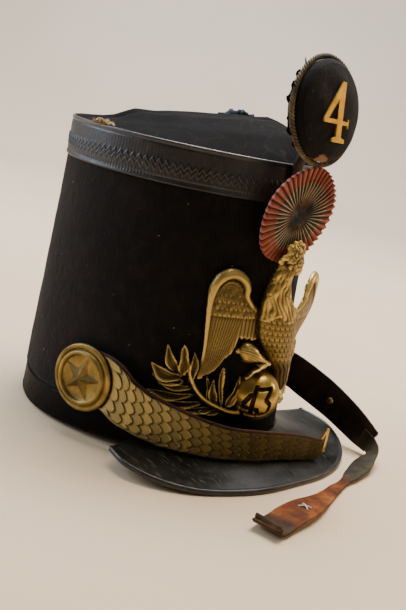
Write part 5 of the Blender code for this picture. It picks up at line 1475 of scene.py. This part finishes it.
# Clasp and rivet: a bent brass loop closes the near strap; a rivet head fastens the far one.
# Both are polished by use.
middle, run, rise, out, half_width = strap_at(right_route, right_route["length"])
clasp_start = middle - run * 1.0 + rise * 1.5
corners = (clasp_start + rise * half_width * 0.8,
           clasp_start + run * 3.6 + rise * (half_width + 8.0),
           clasp_start + run * 6.0 - rise * half_width * 0.6)
clasp_middles = np.array([a + (b - a) * share for a, b in zip(corners, corners[1:])
                          for share in np.linspace(0.0, 0.94, 12)] + [corners[-1]])
clasp_runs = unit(np.gradient(clasp_middles, axis=0))
clasp_outs = np.broadcast_to(out, clasp_runs.shape)
clasp = flat_bar("clasp_loop", clasp_middles, np.cross(clasp_outs, clasp_runs), clasp_outs,
                 [1.1] * len(clasp_middles), 1.1)
clasp_brass = aged_brass("polished brass clasp", "#8a6c34", "#d0ac5c", "#f2d88e", 0.24)
dress(clasp, clasp_brass, "clasp_right")

middle, run, rise, out, half_width = strap_at(left_route, left_route["row_lengths"][6])
spin = ring_of(28)[:, None]
rivet_rings = [middle + rise * 0.05 * half_width - out * (0.3 + lift)
               + reach * (np.cos(spin) * rise + np.sin(spin) * run)
               for reach, lift in ((2.6, 0.0), (2.6, 0.35), (2.2, 0.75), (1.4, 1.0), (0.4, 1.1))]
rivet = sheet_mesh("strap_rivet_head", rivet_rings, around=True)
dress(rivet, clasp_brass, "strap_rivet_left")


# Tie: a thin leather lace from inside the far strap, grey at the root and brown beyond, laid
# flat with a twist and a curled end; a pale cross stitch holds a mend.
TIE_TABLE = (
    # side, forward, height, half_width, flat
    (0.92, 0.990, 9.6, 0.46, 0.30),
    (0.81, 1.020, 7.2, 0.52, 0.70),
    (0.66, 1.050, 4.6, 0.58, 0.95),
    (0.48, 1.082, 3.0, 0.42, 1.00),
    (0.35, 1.104, 2.4, 0.25, 1.00),
    (0.22, 1.124, 2.2, 0.36, 1.00),
    (0.06, 1.154, 2.4, 0.46, 1.00),
    (-0.10, 1.182, 4.0, 0.62, 1.00),
    (-0.28, 1.202, 5.0, 0.84, 1.00),
    (-0.44, 1.216, 4.6, 0.84, 1.00),
    (-0.57, 1.226, 3.0, 0.84, 1.00),
    (-0.645, 1.232, 3.2, 0.82, 1.00),
    (-0.68, 1.236, 6.4, 0.80, 1.00),
    (-0.675, 1.236, 10.0, 0.76, 1.00),
)
TIE_WALL = 1.6
TIE_HALF_WIDTH = 12.5
TIE_STEPS = 240
middle, run, rise, out, half_width = strap_at(left_route, left_route["length"])
inside = middle - out * (0.5 + TIE_WALL / 2)
tie_rows = [(*(inside + run * along), 0.5, 0.0) for along in (-9.0, -3.6)]
tie_rows += [(side * PEAK_HALF_WIDTH, HAT_CENTRE_Y - forward * PEAK_REACH, height, half, flat)
             for side, forward, height, half, flat in TIE_TABLE]
tie_dense = smooth_path(np.array(tie_rows), TIE_STEPS)
tie_middles = tie_dense[:, 1:4]
tie_runs = unit(np.gradient(tie_middles, axis=0))
tie_level = unit(np.cross(tie_runs, (0.0, 0.0, 1.0)))
flat = np.clip(tie_dense[:, 5:6], 0.0, 1.0)
tie_wide = -rise * (1 - flat) + tie_level * flat
tie_wide = unit(tie_wide - tie_runs * np.sum(tie_wide * tie_runs, axis=1)[:, None])
tie_deep = np.cross(tie_runs, tie_wide)
tie_half = tie_dense[:, 4] * TIE_HALF_WIDTH + 0.5 * ripple(tie_middles, 5.0, 2.0)
tie = flat_bar("tie_leather_lace", tie_middles - tie_deep * TIE_WALL / 2, tie_wide, tie_deep,
               tie_half, TIE_WALL, 0.5, 8)
mark(tie, "way", np.repeat(np.linspace(0, 1, TIE_STEPS), 16))

# The lace is dry and matt: grey with dirt at its root and at its curled end, bare red-brown
# where it has been handled.
tie_finish, place = new_finish("worn lacing leather")
mottle = add_node(tie_finish, "TexNoise", Scale=70.0, Detail=6.0, Roughness=0.6, Vector=place)
browns = add_node(tie_finish, "ValToRGB", Fac=mottle,
                  stops=((0.30, "#2c1307"), (0.52, "#6e3812"), (0.75, "#a5622a")))
greys = add_node(tie_finish, "ValToRGB", Fac=mottle,
                 stops=((0.30, "#1a1710"), (0.52, "#2f2a1d"), (0.75, "#4d462f")))
way = (add_node(tie_finish, "Attribute", attribute_name="way"), "Fac")
grey_share = add_node(tie_finish, "ValToRGB", Fac=way,
                      stops=((0.34, 1.0), (0.42, 0.0), (0.86, 0.0), (0.90, 0.8)))
tie_tone = add_node(tie_finish, "MixRGB", Fac=grey_share, Color1=browns, Color2=greys)
hide = add_node(tie_finish, "TexNoise", Scale=800.0, Detail=4.0, Vector=place)
hide_bump = add_node(tie_finish, "Bump", Strength=0.4, Distance=0.0004, Height=hide)
shader = add_node(tie_finish, "BsdfPrincipled", Base_Color=tie_tone, Roughness=0.72,
                  Specular_IOR_Level=0.2, Normal=hide_bump)
add_node(tie_finish, "OutputMaterial", Surface=shader)
dress(tie, tie_finish, "tie_left")

# Two pale linen threads cross on the brown part, holding an old mend; they stay matt.
stitch_thread, place = new_finish("pale linen thread")
twist = add_node(stitch_thread, "TexNoise", Scale=1400.0, Vector=place)
thread_tone = add_node(stitch_thread, "ValToRGB", Fac=twist,
                       stops=((0.3, "#9c907c"), (0.7, "#e2dac8")))
shader = add_node(stitch_thread, "BsdfPrincipled", Base_Color=thread_tone, Roughness=0.85)
add_node(stitch_thread, "OutputMaterial", Surface=shader)
MEND_PLACE = (-27.0, -279.3)
stitch_row = int(np.argmin(np.hypot(tie_middles[:, 0] - MEND_PLACE[0],
                                    tie_middles[:, 1] - MEND_PLACE[1])))
stitch_up = tie_deep[stitch_row] * np.sign(tie_deep[stitch_row][2])
stitch_middle = tie_middles[stitch_row] + stitch_up * TIE_WALL / 2
for k, slant in enumerate((0.9, -0.9)):
    way_along = tie_runs[stitch_row] * math.cos(slant) + tie_wide[stitch_row] * math.sin(slant)
    aside = np.cross(stitch_up, way_along)
    shares = np.linspace(-1.0, 1.0, 9)
    path = [stitch_middle + way_along * s * 4.4 + stitch_up * (0.3 + 0.3 * k - 0.9 * s * s)
            for s in shares]
    stitch = flat_bar("mend_stitch_%d" % k, path, [aside] * 9, [stitch_up] * 9,
                      [0.55] * 9, 0.8, 0.3)
    dress(stitch, stitch_thread, slot="tie_left")

# The stage is a pale matt floor swept up into a backdrop. A large soft lamp above lights the
# hat, a cool window from behind its right side draws the edges, two weak warm lamps fill in
# front, and one more lamp whitens the backdrop under a faint grey sky.
CAMERA_TURN = math.radians(-48.56)
SWEEP_START = 1.4
floor_along, floor_across = np.meshgrid(np.linspace(-2.4, 2.6, 70), np.linspace(-3.0, 3.0, 13),
                                        indexing="ij")
floor_rise = 0.55 * np.maximum(floor_along - SWEEP_START, 0.0) ** 2
floor_places = np.stack([floor_across, floor_along, floor_rise], -1).reshape(-1, 3) / MM
floor_places = floor_places @ np.array(Matrix.Rotation(CAMERA_TURN, 3, "Z")).T
floor_grid = np.arange(70 * 13).reshape(70, 13)
floor = mesh_piece("studio_floor", floor_places, corners_of(floor_grid).reshape(-1, 4).tolist())
floor.data.shade_smooth()
paper, place = new_finish("pale studio paper")
paper_cloud = add_node(paper, "TexNoise", Scale=2.0, Vector=place)
paper_tone = add_node(paper, "ValToRGB", Fac=paper_cloud,
                      stops=((0.3, "#dac09a"), (0.7, "#e0c7a3")))
shader = add_node(paper, "BsdfPrincipled", Base_Color=paper_tone, Roughness=0.85)
add_node(paper, "OutputMaterial", Surface=shader)
floor.data.materials.append(paper)

LIGHTS = (
    # name, place, aim, size, watts, colour
    ("key_light", (0.40, 0.00, 1.50), (0.0, -0.12, 0.10), 1.0, 36.0, "#fff3e2"),
    ("cool_window", (-1.00, 1.15, 0.85), (0.0, -0.12, 0.10), 1.1, 30.0, "#d3dff5"),
    ("front_fill", (-0.10, -1.70, 1.00), (0.0, -0.12, 0.10), 1.3, 3.0, "#fff2e0"),
    ("side_lamp", (1.20, -0.80, 0.62), (0.0, -0.20, 0.05), 0.22, 4.5, "#ffdcae"),
    ("backdrop_light", (0.60, 0.50, 2.10), (1.80, 1.60, 0.50), 1.6, 118.0, "#cbdafc"),
)
for name, spot, aim, size, watts, colour in LIGHTS:
    lamp = bpy.data.lights.new(name, "AREA")
    lamp.size = size
    lamp.energy = watts
    lamp.color = tone(colour)[:3]
    light = bpy.data.objects.new(name, lamp)
    light.location = spot
    light.rotation_euler = (Vector(aim) - Vector(spot)).to_track_quat("-Z", "Y").to_euler()
    bpy.context.scene.collection.objects.link(light)
sky = bpy.data.worlds.new("pale_sky")
sky.use_nodes = True
look = add_node(sky, "TexCoord")
towards = add_node(sky, "VectorMath", operation="DOT_PRODUCT",
                   values=((look, "Generated"), (0.42, 0.62, 0.66)))
sky_tone = add_node(sky, "ValToRGB", Fac=(towards, "Value"),
                    stops=((0.0, "#6f6b65"), (0.35, "#8f8b86"), (0.75, "#e2e2e2")))
glow = sky.node_tree.nodes["Background"]
glow.inputs["Strength"].default_value = 0.5
sky.node_tree.links.new(sky_tone.outputs["Color"], glow.inputs["Color"])
bpy.context.scene.world = sky
